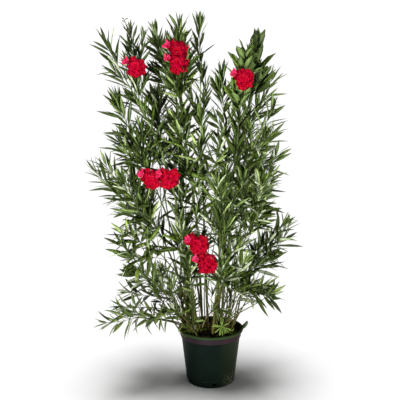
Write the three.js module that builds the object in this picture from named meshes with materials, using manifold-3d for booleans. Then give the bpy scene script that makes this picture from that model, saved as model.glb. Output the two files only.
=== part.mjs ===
// Potted oleander: a clump of canes in a round nursery pot, with its boughs and its masses of leaves.
// Millimetres, +Z up. The origin is the middle of the pot's flat underside.
import * as THREE from 'three';
import { mergeVertices } from 'three/addons/utils/BufferGeometryUtils.js';
import Module from 'manifold-3d';

// ---------------------------------------------------------------------------------------------
// Driving dimensions
// ---------------------------------------------------------------------------------------------
const GAP = 0.3; // between two pieces that touch

// Pot: a tapered plastic container with a rolled rim and a collar under it
const POT_HEIGHT = 250;
const POT_BASE_RADIUS = 106;
const POT_COLLAR_RADIUS = 134;
const POT_RIM_RADIUS = 145;
const POT_WALL = 2.5;
const POT_FLOOR = 3;
const POT_FACETS = 32;
const RIM_DEPTH = 14; // the rolled edge, from its crest to its lower lip
const RIM_BEVEL = 2; // how far its lower lip is drawn in
const COLLAR_DEPTH = 28; // the straight part below the rim
const COLLAR_STEP = 3; // how far the collar stands out from the wall below
const MOUTH_DRAFT = 1; // how much narrower the mouth is at the collar's foot
const FOOT_DEPTH = 30; // the plain ring round the foot
const FOOT_STEP = 1.5;
const DRAIN_COUNT = 6;
const DRAIN_BEARING = -82; // of one hole, degrees round the pot from +X
const DRAIN_RADIUS = 7;
const DRAIN_HEIGHT = 17;
const DRAIN_SIDES = 6;
const DRILL_LENGTH = 30; // of the cutter that makes a drain hole
const BAND_DEPTH = 22; // the coloured band on the collar
const BAND_THICKNESS = 0.8;
const BAND_LIFT = 1; // of its lower edge over the step under the collar

// Lug: the bent tab on the rim
const LUG_BEARING = 8; // degrees round the pot from +X
const LUG_WIDTH = 22;
const LUG_LENGTH = 26;
const LUG_THICKNESS = 3;
const LUG_TIP = 12; // how far its end turns up
const LUG_ROOT = 1; // how deep it is let into the collar and the rim

// Soil: flat on top where the canes stand, falling a little to the wall
const SOIL_TOP = 232;
const SOIL_FLAT_RADIUS = 112;
const SOIL_EDGE_DROP = 6;

// Limbs: a cane rises from the soil, a bough from a cane
const LIMB_SIDES = 5;
const CANE_STEPS = 8;
const BOUGH_STEPS = 5;
const FOOT_CROWDING = 1.6; // over 1 puts more of a limb's rings near its foot
const CANE_TIP_RADIUS = 2.5;
const BOUGH_TIP_RADIUS = 1.8;
const BOUGH_SHARE = 0.75; // a bough's radius at its foot, as a share of its cane's there
const ROOT_FLARE = 1.45; // a cane's foot, as a multiple of its radius above the flare
const BURIED = 12; // a cane's line starts this far below the soil's top, where it is cut flat

// Masses of leaves
const MASS_FACES_BIG = 2; // subdivisions of the icosahedron
const MASS_FACES_SMALL = 1;
const BIG_MASS = 140; // width from which a mass gets the finer one
const MASS_SUNK = 0.12; // share of its length by which a mass reaches back over its limb's end
const MASS_TAPER = 0.22; // how much thinner its far half is
const LUMP = 0.13; // how uneven a mass is, as a share of its radius
const MASS_INFLATION = 0.7; // the clear skin round a mass that cuts its neighbours

// Colours, roughness
const LOOKS = {
  pot: [0x17231c, 0.55],
  band: [0x3a262f, 0.6],
  soil: [0x1f1712, 0.95],
  bark: [0x5d5a2b, 0.8],
  leaf: [0x3e5f26, 0.7],
};

// ---------------------------------------------------------------------------------------------
// The plant's plan
// ---------------------------------------------------------------------------------------------
// foot    where a cane leaves the soil, [x, y]
// tip     where the limb ends, inside its own mass, [x, y, z]
// rise    degrees over level at which the limb sets out
// lift    degrees over level at which it ends; its mass of leaves goes on that way
// girth   a cane's radius above the flare
// leaves  [length, width] of the mass on its end
const CANES = {
  top_left: { foot: [-58, -48], tip: [-312, -86, 1280], rise: 84, lift: 61, girth: 8.5, leaves: [355, 142] },
  top_middle_left: { foot: [-36, 34], tip: [-176, 96, 1330], rise: 87, lift: 70, girth: 7, leaves: [310, 135] },
  spire: { foot: [-12, -8], tip: [-44, 0, 1200], rise: 88, lift: 89, girth: 7.5, leaves: [490, 105] },
  broad_left: { foot: [22, -34], tip: [116, -96, 1245], rise: 86, lift: 87, girth: 8, leaves: [300, 115] },
  broad_right: { foot: [46, 26], tip: [174, 84, 1308], rise: 87, lift: 80, girth: 7.5, leaves: [290, 115] },
  right_upper: { foot: [50, 66], tip: [170, 140, 1142], rise: 85, lift: 57, girth: 7, leaves: [350, 140] },
  right_middle: { foot: [76, 0], tip: [164, 34, 842], rise: 84, lift: 70, girth: 6.5, leaves: [390, 165] },
  right_tip: { foot: [96, 26], tip: [205, 56, 546], rise: 66, lift: 44, girth: 5, leaves: [300, 112] },
  right_low: { foot: [86, -32], tip: [180, -68, 448], rise: 70, lift: -4, girth: 4.5, leaves: [180, 125] },
  left_upper: { foot: [-62, 0], tip: [-296, -60, 1030], rise: 84, lift: 66, girth: 7, leaves: [350, 165] },
  left_middle: { foot: [-84, -20], tip: [-296, -92, 812], rise: 80, lift: 50, girth: 6.5, leaves: [345, 185] },
  left_low: { foot: [-92, 22], tip: [-228, 30, 414], rise: 66, lift: 15, girth: 5, leaves: [290, 125] },
  left_lowest: { foot: [-82, -46], tip: [-196, -76, 350], rise: 72, lift: -5, girth: 4.5, leaves: [350, 92] },
  back_left: { foot: [-34, 84], tip: [-146, 212, 836], rise: 82, lift: 76, girth: 6.5, leaves: [420, 180] },
  back_right: { foot: [14, 96], tip: [86, 214, 770], rise: 82, lift: 76, girth: 6.5, leaves: [440, 180] },
  front: { foot: [6, -84], tip: [42, -180, 712], rise: 82, lift: 78, girth: 6.5, leaves: [370, 150] },
};

// from, ring  the cane that a bough leaves, and at which of its rings, counted up from its foot
const BOUGHS = {
  pale_sprig: { from: 'top_left', ring: 7, tip: [-318, 60, 1350], rise: 60, lift: 80, leaves: [280, 105] },
  top_middle: { from: 'top_middle_left', ring: 7, tip: [-136, -70, 1330], rise: 60, lift: 82, leaves: [310, 125] },
  slim: { from: 'broad_left', ring: 6, tip: [54, -20, 1150], rise: 60, lift: 86, leaves: [330, 90] },
  right_star: { from: 'right_upper', ring: 6, tip: [188, -80, 1078], rise: 45, lift: 59, leaves: [280, 120] },
  right_middle_low: { from: 'right_middle', ring: 5, tip: [165, -120, 746], rise: 50, lift: 56, leaves: [350, 140] },
  left_inner: { from: 'left_upper', ring: 6, tip: [-230, 110, 1040], rise: 60, lift: 82, leaves: [350, 160] },
  left_behind: { from: 'back_left', ring: 5, tip: [-290, 170, 690], rise: 40, lift: 60, leaves: [330, 170] },
  left_lower: { from: 'left_middle', ring: 5, tip: [-248, -125, 640], rise: 40, lift: 24, leaves: [290, 145] },
  front_low: { from: 'front', ring: 4, tip: [64, -128, 470], rise: 55, lift: 78, leaves: [235, 132] },
};

// on, at     the limb that runs through the mass, and where its middle lies, as a share of the limb's length
// out        how far the mass stands off to a side, [x, y, z]
const SLEEVES = {
  centre_left_high: { on: 'top_middle_left', at: 0.86, size: [230, 145], out: [-10, -90, 0] },
  centre_left: { on: 'top_middle_left', at: 0.66, size: [260, 150], out: [-10, -60, 0] },
  centre: { on: 'spire', at: 0.83, size: [320, 140], out: [48, -80, 0] },
  middle_right: { on: 'right_upper', at: 0.62, size: [300, 145], out: [-10, 10, 0] },
  middle_left: { on: 'left_upper', at: 0.56, size: [380, 155], out: [64, -70, 0] },
  low_left: { on: 'left_middle', at: 0.24, size: [180, 120], out: [0, -60, 0] },
  right_inner: { on: 'right_middle', at: 0.5, size: [280, 130], out: [36, -20, 0] },
};

// ---------------------------------------------------------------------------------------------
// Solids: joining and cutting closed meshes
// ---------------------------------------------------------------------------------------------
const wasm = await Module();
wasm.setup();

function solidOf(geometry) {
  const plain = geometry.clone();
  plain.deleteAttribute('normal');
  plain.deleteAttribute('uv');
  const merged = mergeVertices(plain, 1e-4);
  return new wasm.Manifold(
    new wasm.Mesh({
      numProp: 3,
      vertProperties: new Float32Array(merged.attributes.position.array),
      triVerts: new Uint32Array(merged.index.array),
    })
  );
}

function geometryOf(solid) {
  const mesh = solid.getMesh();
  const geometry = new THREE.BufferGeometry();
  geometry.setAttribute('position', new THREE.BufferAttribute(new Float32Array(mesh.vertProperties), 3));
  geometry.setIndex(new THREE.BufferAttribute(new Uint32Array(mesh.triVerts), 1));
  return geometry;
}

function boxesMeet(a, b) {
  const p = a.boundingBox();
  const q = b.boundingBox();
  return [0, 1, 2].every((k) => p.min[k] < q.max[k] && q.min[k] < p.max[k]);
}

// solid less each cutter that it meets
function cutBy(solid, cutters) {
  return cutters.reduce((rest, cutter) => (boxesMeet(rest, cutter) ? rest.subtract(cutter) : rest), solid);
}

// of the pieces that a cut leaves, the one that scores highest
function bestPiece(solid, score) {
  return solid.decompose().reduce((best, piece) => (!best || score(piece) > score(best) ? piece : best), null);
}

const largest = (piece) => piece.volume();

// ---------------------------------------------------------------------------------------------
// Pot, band and soil
// ---------------------------------------------------------------------------------------------
const lathe = (profile) =>
  new THREE.LatheGeometry(
    profile.map(([r, z]) => new THREE.Vector2(r, z)),
    POT_FACETS
  ).rotateX(Math.PI / 2);

const COLLAR_FOOT = POT_HEIGHT - RIM_DEPTH - COLLAR_DEPTH;

// the wall's outer radius below the collar
function wallRadius(z) {
  const top = POT_COLLAR_RADIUS - COLLAR_STEP;
  return THREE.MathUtils.lerp(POT_BASE_RADIUS, top, z / COLLAR_FOOT);
}

function pot() {
  const rim = RIM_DEPTH / 2;
  const profile = [
    [0, 0],
    [POT_BASE_RADIUS, 0],
    [wallRadius(FOOT_DEPTH) + FOOT_STEP, FOOT_DEPTH - FOOT_STEP],
    [wallRadius(FOOT_DEPTH), FOOT_DEPTH],
    [wallRadius(COLLAR_FOOT), COLLAR_FOOT],
    [POT_COLLAR_RADIUS, COLLAR_FOOT + COLLAR_STEP],
    [POT_COLLAR_RADIUS, POT_HEIGHT - RIM_DEPTH],
    [POT_RIM_RADIUS - RIM_BEVEL, POT_HEIGHT - RIM_DEPTH],
    [POT_RIM_RADIUS, POT_HEIGHT - rim],
    [POT_RIM_RADIUS - rim / 2, POT_HEIGHT],
    [POT_COLLAR_RADIUS - POT_WALL, POT_HEIGHT],
    [POT_COLLAR_RADIUS - POT_WALL - MOUTH_DRAFT, COLLAR_FOOT],
    [wallRadius(POT_FLOOR) - POT_WALL, POT_FLOOR],
    [0, POT_FLOOR],
  ];
  let solid = solidOf(lathe(profile));
  for (let i = 0; i < DRAIN_COUNT; i += 1) {
    const hole = new THREE.CylinderGeometry(DRAIN_RADIUS, DRAIN_RADIUS, DRILL_LENGTH, DRAIN_SIDES);
    hole.rotateZ(Math.PI / 2);
    hole.translate(POT_BASE_RADIUS, 0, DRAIN_HEIGHT);
    hole.rotateZ(THREE.MathUtils.degToRad(DRAIN_BEARING) + (i * 2 * Math.PI) / DRAIN_COUNT);
    solid = solid.subtract(solidOf(hole));
  }
  return solid.add(lug());
}

// a flat tab from under the rim, its end turned up
function lug() {
  const outline = new THREE.Shape();
  outline.moveTo(0, 0);
  outline.lineTo(LUG_LENGTH, 0);
  outline.lineTo(LUG_LENGTH + LUG_THICKNESS, LUG_TIP);
  outline.lineTo(LUG_LENGTH, LUG_TIP);
  outline.lineTo(LUG_LENGTH - LUG_THICKNESS, LUG_THICKNESS);
  outline.lineTo(0, LUG_THICKNESS);
  const tab = new THREE.ExtrudeGeometry(outline, { depth: LUG_WIDTH, bevelEnabled: false });
  tab.translate(POT_COLLAR_RADIUS - LUG_ROOT, 0, -LUG_WIDTH / 2);
  tab.rotateX(Math.PI / 2);
  tab.translate(0, 0, POT_HEIGHT - RIM_DEPTH - LUG_THICKNESS + LUG_ROOT);
  tab.rotateZ(THREE.MathUtils.degToRad(LUG_BEARING));
  return solidOf(tab);
}

function band() {
  const inner = POT_COLLAR_RADIUS + GAP;
  const outer = inner + BAND_THICKNESS;
  const foot = COLLAR_FOOT + COLLAR_STEP + BAND_LIFT;
  const ring = [
    [inner, foot],
    [outer, foot],
    [outer, foot + BAND_DEPTH],
    [inner, foot + BAND_DEPTH],
    [inner, foot],
  ];
  return solidOf(lathe(ring));
}

function soil() {
  const edge = SOIL_TOP - SOIL_EDGE_DROP;
  const inner = (z) => {
    const share = (z - POT_FLOOR) / (COLLAR_FOOT - POT_FLOOR);
    const foot = wallRadius(POT_FLOOR) - POT_WALL;
    const neck = POT_COLLAR_RADIUS - POT_WALL - MOUTH_DRAFT;
    return THREE.MathUtils.lerp(foot, neck, Math.min(share, 1)) - 2 * GAP;
  };
  return solidOf(
    lathe([
      [0, POT_FLOOR + GAP],
      [inner(POT_FLOOR), POT_FLOOR + GAP],
      [inner(COLLAR_FOOT), COLLAR_FOOT],
      [inner(COLLAR_FOOT), edge],
      [SOIL_FLAT_RADIUS, SOIL_TOP],
      [0, SOIL_TOP],
    ])
  );
}

// ---------------------------------------------------------------------------------------------
// Limbs
// ---------------------------------------------------------------------------------------------
// the direction that lies over level by so many degrees, towards the heading
function direction(heading, degrees) {
  const angle = THREE.MathUtils.degToRad(degrees);
  return heading.clone().multiplyScalar(Math.cos(angle)).add(new THREE.Vector3(0, 0, Math.sin(angle)));
}

// a limb's middle line: it sets out at its rise and ends at its lift
function limbLine(start, limb) {
  const tip = new THREE.Vector3(...limb.tip);
  const heading = new THREE.Vector3(tip.x - start.x, tip.y - start.y, 0).normalize();
  const third = start.distanceTo(tip) / 3;
  return new THREE.CubicBezierCurve3(
    start,
    start.clone().addScaledVector(direction(heading, limb.rise), third),
    tip.clone().addScaledVector(direction(heading, limb.lift), -third),
    tip
  );
}

// where a ring lies along its limb, as a share of the limb's length
const ringShare = (ring, steps) => (ring / steps) ** FOOT_CROWDING;

// a tapering round limb along a line; swell makes the fat copy that cuts its neighbours
function limbGeometry({ line, girth, tipRadius, steps, flare }, swell) {
  const geometry = new THREE.CylinderGeometry(1, 1, 1, LIMB_SIDES, steps);
  const place = geometry.attributes.position;
  const side = line.getTangentAt(0).cross(new THREE.Vector3(0, 0, 1)).normalize();
  for (let i = 0; i < place.count; i += 1) {
    const ring = Math.round((place.getY(i) + 0.5) * steps);
    const t = ringShare(ring, steps);
    const over = new THREE.Vector3().crossVectors(line.getTangentAt(t), side).normalize();
    const radius = THREE.MathUtils.lerp(girth, tipRadius, t) * (ring === 0 ? flare : 1) + swell;
    const point = line
      .getPointAt(t)
      .addScaledVector(side, place.getX(i) * radius)
      .addScaledVector(over, -place.getZ(i) * radius);
    place.setXYZ(i, point.x, point.y, point.z);
  }
  return geometry;
}

// ---------------------------------------------------------------------------------------------
// Masses of leaves
// ---------------------------------------------------------------------------------------------
// how far the skin of a mass stands out or in towards a point on the unit ball: slow waves, other ones
// for each seed
function lumpAt({ x, y, z }, seed) {
  const across = Math.sin(2.3 * x + 1.7 * seed) * Math.cos(2.9 * y - 0.9 * seed);
  return across + 0.6 * Math.sin(4.1 * z + 2.1 * seed + 2 * x);
}

// An uneven spindle round an axis: fat below its middle, thinner at its tip, with lumps of its own.
function massGeometry(middle, axis, length, width, seed, swell = 0) {
  const detail = width >= BIG_MASS ? MASS_FACES_BIG : MASS_FACES_SMALL;
  const geometry = new THREE.IcosahedronGeometry(1, detail);
  const turn = new THREE.Quaternion().setFromUnitVectors(new THREE.Vector3(0, 0, 1), axis);
  const place = geometry.attributes.position;
  const point = new THREE.Vector3();
  for (let i = 0; i < place.count; i += 1) {
    point.fromBufferAttribute(place, i).normalize();
    const radius = 1 + LUMP * lumpAt(point, seed);
    const waist = 1 - MASS_TAPER * point.z;
    point.multiply(new THREE.Vector3(waist, waist, 1)).multiplyScalar(radius);
    const reach = point.clone().normalize();
    point.multiply(new THREE.Vector3(width / 2, width / 2, length / 2)).addScaledVector(reach, swell);
    point.applyQuaternion(turn).add(middle);
    place.setXYZ(i, point.x, point.y, point.z);
  }
  return geometry;
}

// ---------------------------------------------------------------------------------------------
// Growing the plant
// ---------------------------------------------------------------------------------------------
function growLimbs() {
  const limbs = new Map();
  const addLimb = (limb) => {
    limb.solid = solidOf(limbGeometry(limb, 0));
    limb.fat = solidOf(limbGeometry(limb, GAP));
    limbs.set(limb.name, limb);
  };
  for (const [name, plan] of Object.entries(CANES)) {
    const line = limbLine(new THREE.Vector3(...plan.foot, SOIL_TOP - BURIED), plan);
    const { girth, leaves } = plan;
    const taper = { girth, tipRadius: CANE_TIP_RADIUS, flare: ROOT_FLARE, steps: CANE_STEPS };
    addLimb({ name, kind: 'cane', line, leaves, ...taper });
  }
  for (const [name, plan] of Object.entries(BOUGHS)) {
    const parent = limbs.get(plan.from);
    const at = ringShare(plan.ring, parent.steps);
    const line = limbLine(parent.line.getPointAt(at), plan);
    const girth = BOUGH_SHARE * THREE.MathUtils.lerp(parent.girth, parent.tipRadius, at);
    const taper = { girth, tipRadius: BOUGH_TIP_RADIUS, flare: 1, steps: BOUGH_STEPS };
    addLimb({ name, kind: 'bough', line, leaves: plan.leaves, parent, ...taper });
  }
  return limbs;
}

function growMasses(limbs) {
  const masses = new Map();
  const addMass = (name, own, middle, axis, [length, width]) => {
    const seed = masses.size + 1;
    const shape = (swell) => solidOf(massGeometry(middle, axis, length, width, seed, swell));
    masses.set(name, { name, own, solid: shape(0), fat: shape(MASS_INFLATION) });
  };
  for (const limb of limbs.values()) {
    const axis = limb.line.getTangentAt(1);
    const [length] = limb.leaves;
    const middle = limb.line.getPointAt(1).addScaledVector(axis, length * (0.5 - MASS_SUNK));
    addMass(limb.name, limb, middle, axis, limb.leaves);
  }
  for (const [name, sleeve] of Object.entries(SLEEVES)) {
    const { line } = limbs.get(sleeve.on);
    const middle = line.getPointAt(sleeve.at).add(new THREE.Vector3(...sleeve.out));
    addMass(name, null, middle, line.getTangentAt(sleeve.at), sleeve.size);
  }
  return masses;
}

// Each mass is cut round its earlier neighbours and round every limb but its own.
function fitMasses(masses, limbs) {
  const done = [];
  for (const mass of masses.values()) {
    const others = [...limbs.values()].filter((limb) => limb !== mass.own).map((limb) => limb.fat);
    mass.solid = bestPiece(cutBy(mass.solid, [...done, ...others]), largest);
    done.push(mass.fat);
  }
}

const FOOT_SHARE = 0.1; // of a limb's length, past its cut foot
const TIE_BREAK = 1e-6; // for each cubic millimetre, between pieces as near to the foot

// A limb ends where it enters its own mass. A cane is cut flat over the soil, a bough fits its cane.
function fitLimbs(limbs, masses, ground) {
  for (const limb of limbs.values()) {
    const root = limb.parent ? limb.parent.fat : ground;
    const foot = limb.line.getPointAt(FOOT_SHARE);
    const nearness = (piece) => {
      const { min, max } = piece.boundingBox();
      return -foot.distanceTo(foot.clone().clamp(new THREE.Vector3(...min), new THREE.Vector3(...max)));
    };
    const cut = cutBy(limb.solid, [root, masses.get(limb.name).fat]);
    limb.solid = bestPiece(cut, (piece) => nearness(piece) + TIE_BREAK * piece.volume());
  }
}

function mesh(name, solid, look) {
  const [color, roughness] = LOOKS[look];
  const made = new THREE.Mesh(
    geometryOf(solid),
    new THREE.MeshStandardMaterial({ color, roughness, metalness: 0, flatShading: true })
  );
  made.name = name;
  return made;
}

// the block that cuts the canes flat, a gap over the soil
function groundBlock() {
  const side = 3 * POT_RIM_RADIUS;
  return solidOf(new THREE.BoxGeometry(side, side, SOIL_TOP).translate(0, 0, SOIL_TOP / 2 + GAP));
}

function oleander() {
  const plant = new THREE.Group();
  const ground = groundBlock();
  const limbs = growLimbs();
  const masses = growMasses(limbs);
  fitMasses(masses, limbs);
  fitLimbs(limbs, masses, ground);
  plant.add(mesh('pot', pot(), 'pot'), mesh('colour_band', band(), 'band'), mesh('soil', soil(), 'soil'));
  for (const limb of limbs.values()) plant.add(mesh(`${limb.kind}_${limb.name}`, limb.solid, 'bark'));
  for (const mass of masses.values()) plant.add(mesh(`leaves_${mass.name}`, mass.solid, 'leaf'));
  return plant;
}

export default oleander();
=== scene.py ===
# %% [markdown]
# # A potted oleander
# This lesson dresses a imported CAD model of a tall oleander. The CAD has a plain pot, sixteen canes, nine
# boughs and a closed lump for each mass of leaves. We give the pot its mouldings, the stems their bark, and
# grow twigs, leaves and flowers inside the lumps. Everything is in metres. The limbs, the lumps and the
# soil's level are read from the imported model, so the looks and the solids can't drift apart.

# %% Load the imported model
import math

import bmesh
import bpy
import numpy as np
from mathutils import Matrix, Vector
from mathutils.bvhtree import BVHTree


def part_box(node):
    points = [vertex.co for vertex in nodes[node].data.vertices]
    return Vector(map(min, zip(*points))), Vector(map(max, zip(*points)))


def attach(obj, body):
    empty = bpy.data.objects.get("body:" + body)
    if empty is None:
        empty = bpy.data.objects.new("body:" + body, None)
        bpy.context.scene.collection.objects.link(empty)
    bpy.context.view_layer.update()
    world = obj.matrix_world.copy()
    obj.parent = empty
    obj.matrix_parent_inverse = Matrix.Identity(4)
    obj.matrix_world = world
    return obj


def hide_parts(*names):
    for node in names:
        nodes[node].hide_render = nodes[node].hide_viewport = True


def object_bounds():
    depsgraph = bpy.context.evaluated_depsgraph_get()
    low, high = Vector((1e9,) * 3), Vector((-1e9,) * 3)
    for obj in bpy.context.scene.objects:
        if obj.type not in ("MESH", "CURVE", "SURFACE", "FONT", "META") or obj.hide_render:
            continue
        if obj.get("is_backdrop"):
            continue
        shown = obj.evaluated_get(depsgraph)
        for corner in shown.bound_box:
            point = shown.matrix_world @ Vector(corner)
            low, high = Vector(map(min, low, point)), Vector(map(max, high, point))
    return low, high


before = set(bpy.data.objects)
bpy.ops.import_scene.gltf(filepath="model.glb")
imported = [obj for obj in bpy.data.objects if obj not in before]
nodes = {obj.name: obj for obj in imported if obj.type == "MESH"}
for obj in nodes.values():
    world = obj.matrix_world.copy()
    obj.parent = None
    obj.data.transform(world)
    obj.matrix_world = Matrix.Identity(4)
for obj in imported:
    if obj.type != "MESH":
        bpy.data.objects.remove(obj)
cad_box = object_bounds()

MM = 0.001
SEED = 417
masses = sorted(n for n in nodes if n.startswith("leaves_"))
limbs = sorted(n for n in nodes if n.startswith(("cane_", "bough_")))
print(len(limbs), "limbs,", len(masses), "masses, box", [round(s, 3) for s in cad_box[1] - cad_box[0]])

# %% [markdown]
# ## Colours and nodes
# Paint charts give colours as sRGB hex values, but Blender's sockets take linear ones. One function turns
# them. A second one adds a node to any tree, with its settings, its plain values and its links, so that the
# materials and the Geometry Nodes below read like recipes. Two more start a material from its shader's
# plain values, and end it with its colour and its relief. A pattern's scale comes from the real width of
# its grains, in millimetres.


# %% Helpers for colours and nodes
def linear(code):
    """An sRGB hex colour as the linear one that a socket takes."""
    parts = [int(code[i : i + 2], 16) / 255 for i in (1, 3, 5)]
    return (*(c / 12.92 if c <= 0.04045 else ((c + 0.055) / 1.055) ** 2.4 for c in parts), 1.0)


def add(tree, kind, inputs=None, **settings):
    """A new node. An input that is given another node's output is linked to it, any other is set."""
    node = tree.nodes.new(kind)
    for key, value in settings.items():
        setattr(node, key, value)
    for key, value in (inputs or {}).items():
        if isinstance(value, bpy.types.NodeSocket):
            tree.links.new(value, node.inputs[key])
        else:
            node.inputs[key].default_value = value
    return node


def stops(node, *pairs):
    """The stops of a colour ramp, from (place, hex colour) pairs."""
    ramp = node.color_ramp
    while len(ramp.elements) < len(pairs):
        ramp.elements.new(0.5)
    for element, (place, code) in zip(ramp.elements, pairs):
        element.position = place
        element.color = linear(code)
    return node


def new_material(name, values):
    """A new material with plain values on its shader. Returns it, its tree, its shader and where it is."""
    made = bpy.data.materials.new(name)
    made.use_nodes = True
    shader = made.node_tree.nodes["Principled BSDF"]
    for key, value in values.items():
        shader.inputs[key].default_value = value
    where = add(made.node_tree, "ShaderNodeTexCoord").outputs["Object"]
    return made, made.node_tree, shader, where


def coat(tree, shader, colour, height, strength, depth):
    """Gives the shader its colour, and a relief of a depth in millimetres from a height pattern."""
    relief = {"Height": height, "Strength": strength, "Distance": depth * MM}
    tree.links.new(colour, shader.inputs["Base Color"])
    tree.links.new(add(tree, "ShaderNodeBump", relief).outputs["Normal"], shader.inputs["Normal"])


def grains(width):
    """The scale of a noise whose grains are a width in millimetres."""
    return 1 / (width * MM)


print("leaf green is", [round(c, 3) for c in linear("#3f6126")])

# %% [markdown]
# ## The camera
# The plant is seen from a little under its tip, looking slightly down on the pot, from about three and a
# half metres. A lens half as long again as a normal one keeps the canes from splaying.

# %% Camera
def in_scene(name, data):
    """A new object, linked into the scene."""
    made = bpy.data.objects.new(name, data)
    bpy.context.scene.collection.objects.link(made)
    return made


LENS, SENSOR = 71.9, 36
CAMERA_PLACE = (-0.048, -3.4, 1.5)
LOOK_DOWN = 11.2
FAR = 300
camera = in_scene("camera", bpy.data.cameras.new("camera"))
camera.data.lens, camera.data.sensor_width, camera.data.clip_end = LENS, SENSOR, FAR
camera.location = CAMERA_PLACE
camera.rotation_euler = (math.radians(90 - LOOK_DOWN), 0, 0)
bpy.context.scene.camera = camera
print("camera stands", round(camera.location.length, 2), "m from the pot's foot")

# %% [markdown]
# ## Floor and light
# A pale floor runs far out, so that it meets the white background without a line. A wide soft sun almost
# overhead throws the soft dark pool that a full crown leaves round its pot. Two softboxes with grids over
# them stand low at the front, left and right. A grid narrows a lamp's light, so they light the leaves' near
# sides from below and hardly touch the floor. The sky is dimmer than it looks, so the pool stays dark.

# %% Floor, sky and lamps
FLOOR_HALF = 60.0


def plain_floor():
    grid = bpy.data.meshes.new("floor")
    h = FLOOR_HALF
    grid.from_pydata([(-h, -h, 0), (h, -h, 0), (h, h, 0), (-h, h, 0)], [], [(0, 1, 2, 3)])
    floor = in_scene("floor", grid)
    values = {"Base Color": linear("#f4f4f4"), "Roughness": 0.9, "Specular IOR Level": 0.1}
    grid.materials.append(new_material("matt white studio paint", values)[0])
    floor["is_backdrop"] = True


def studio_sky(seen, lit):
    """A white background, and a dimmer even light from all round."""
    world = bpy.data.worlds.new("sky")
    world.use_nodes = True
    tree = world.node_tree
    tree.nodes.clear()
    direct = add(tree, "ShaderNodeLightPath").outputs["Is Camera Ray"]
    span = {"Value": direct, "To Min": lit, "To Max": seen}
    strength = add(tree, "ShaderNodeMapRange", span).outputs["Result"]
    light = add(tree, "ShaderNodeBackground", {"Color": linear("#ffffff"), "Strength": strength})
    add(tree, "ShaderNodeOutputWorld", {"Surface": light.outputs["Background"]})
    bpy.context.scene.world = world


def lamp(name, kind, place, aim, energy, **settings):
    data = bpy.data.lights.new(name, kind)
    data.energy = energy
    for key, value in settings.items():
        setattr(data, key, value)
    made = in_scene(name, data)
    made.location = place
    made.rotation_euler = (Vector(aim) - Vector(place)).to_track_quat("-Z", "Y").to_euler()


SOFT = math.radians(30)
LAMP_HEIGHT = 0.5
plain_floor()
studio_sky(seen=1.05, lit=0.06)
lamp("sun", "SUN", (-0.12, 0.06, 4), (0, 0, 0), 3.4, angle=SOFT)
lamp("front", "AREA", (-1.9, -4.0, LAMP_HEIGHT), (0, 0, 1.12), 20, size=0.8, spread=SOFT)
lamp("side", "AREA", (2.6, -3.4, LAMP_HEIGHT), (0, 0, 1.0), 11.5, size=0.8, spread=SOFT)
bpy.context.scene.view_settings.view_transform = "Standard"
print(len(bpy.data.lights), "lamps")

# %% [markdown]
# ## Meshes from arrays
# Most of the plant is thousands of small shapes. Making each as its own object would choke the scene, so
# we work out the points of all of them at once with numpy and join them into a few meshes. A `Pile`
# collects points, faces and the slot of each face, and turns into one object at the end.


# %% The pile
class Pile:
    """Points and faces of many small shapes that become one mesh."""

    def __init__(self):
        self.points, self.faces, self.slots, self.count = [], [], [], 0

    def put(self, points, faces, slots):
        """Adds one shape. faces is a list of corner tuples, slots a number or one for each face."""
        self.points.append(np.asarray(points, float))
        self.faces.extend(tuple(c + self.count for c in face) for face in faces)
        self.slots.extend(slots if hasattr(slots, "__len__") else [slots] * len(faces))
        self.count += len(points)

    def piece(self, name, materials, slot):
        mesh = bpy.data.meshes.new(name)
        mesh.from_pydata(np.concatenate(self.points), [], self.faces)
        mesh.polygons.foreach_set("material_index", self.slots)
        mesh.polygons.foreach_set("use_smooth", [True] * len(self.faces))
        return place(name, mesh, materials, slot)


def place(name, mesh, materials, slot):
    """A finished mesh as a piece of the part: at the origin, riding on the plant's one body."""
    slots = np.zeros(len(mesh.polygons), dtype=np.int32)
    mesh.polygons.foreach_get("material_index", slots)
    mesh.materials.clear()
    for material in materials:
        mesh.materials.append(material)
    mesh.polygons.foreach_set("material_index", np.minimum(slots, len(materials) - 1))
    mesh.update()
    made = in_scene(name, mesh)
    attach(made, "root")
    mesh.calc_loop_triangles()
    print(name, len(mesh.loop_triangles), "triangles")
    return made


def vec(*xyz):
    return np.array(xyz, float)


def unit(v):
    return v / np.maximum(np.linalg.norm(v, axis=-1, keepdims=True), 1e-12)


def across(direction):
    """Some unit vector square to a direction."""
    other = vec(0, 0, 1) if abs(direction[2]) < 0.9 else vec(1, 0, 0)
    return unit(np.cross(direction, other))


def ring_faces(rings, sides):
    """Quads that join each ring of points to the next one."""
    faces = []
    for a in range(0, (rings - 1) * sides, sides):
        b = a + sides
        faces += [(a + i, a + (i + 1) % sides, b + (i + 1) % sides, b + i) for i in range(sides)]
    return faces


def tube(pile, line, radii, sides, slot, relief=None):
    """A closed round stem along a line of points. relief(angles round it, row) adds to the radius."""
    tangent = unit(np.gradient(line, axis=0))
    u = across(tangent[0])
    turns = 2 * np.pi * np.arange(sides) / sides
    rows = []
    for k, t in enumerate(tangent):
        u = unit(u - (u @ t) * t)
        v = np.cross(t, u)
        r = radii[k] + (relief(turns, k) if relief else 0.0)
        rows.append(line[k] + np.outer(np.cos(turns) * r, u) + np.outer(np.sin(turns) * r, v))
    ends = [tuple(reversed(range(sides))), tuple(range((len(line) - 1) * sides, len(line) * sides))]
    pile.put(np.concatenate(rows), ring_faces(len(line), sides) + ends, slot)


def taper(pile, line, foot, tip, sides=6):
    """A plain stem in the pile's first material, from its foot's radius to its tip's."""
    tube(pile, line, np.linspace(foot, tip, len(line)), sides, 0)


def bezier(a, b, c, d, count):
    t = np.linspace(0, 1, count)[:, None]
    return (1 - t) ** 3 * a + 3 * (1 - t) ** 2 * t * b + 3 * (1 - t) * t**2 * c + t**3 * d


print("halfway along a curve from 0 to 1:", float(bezier(0, 0, 1, 1, 3)[1, 0]))

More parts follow.
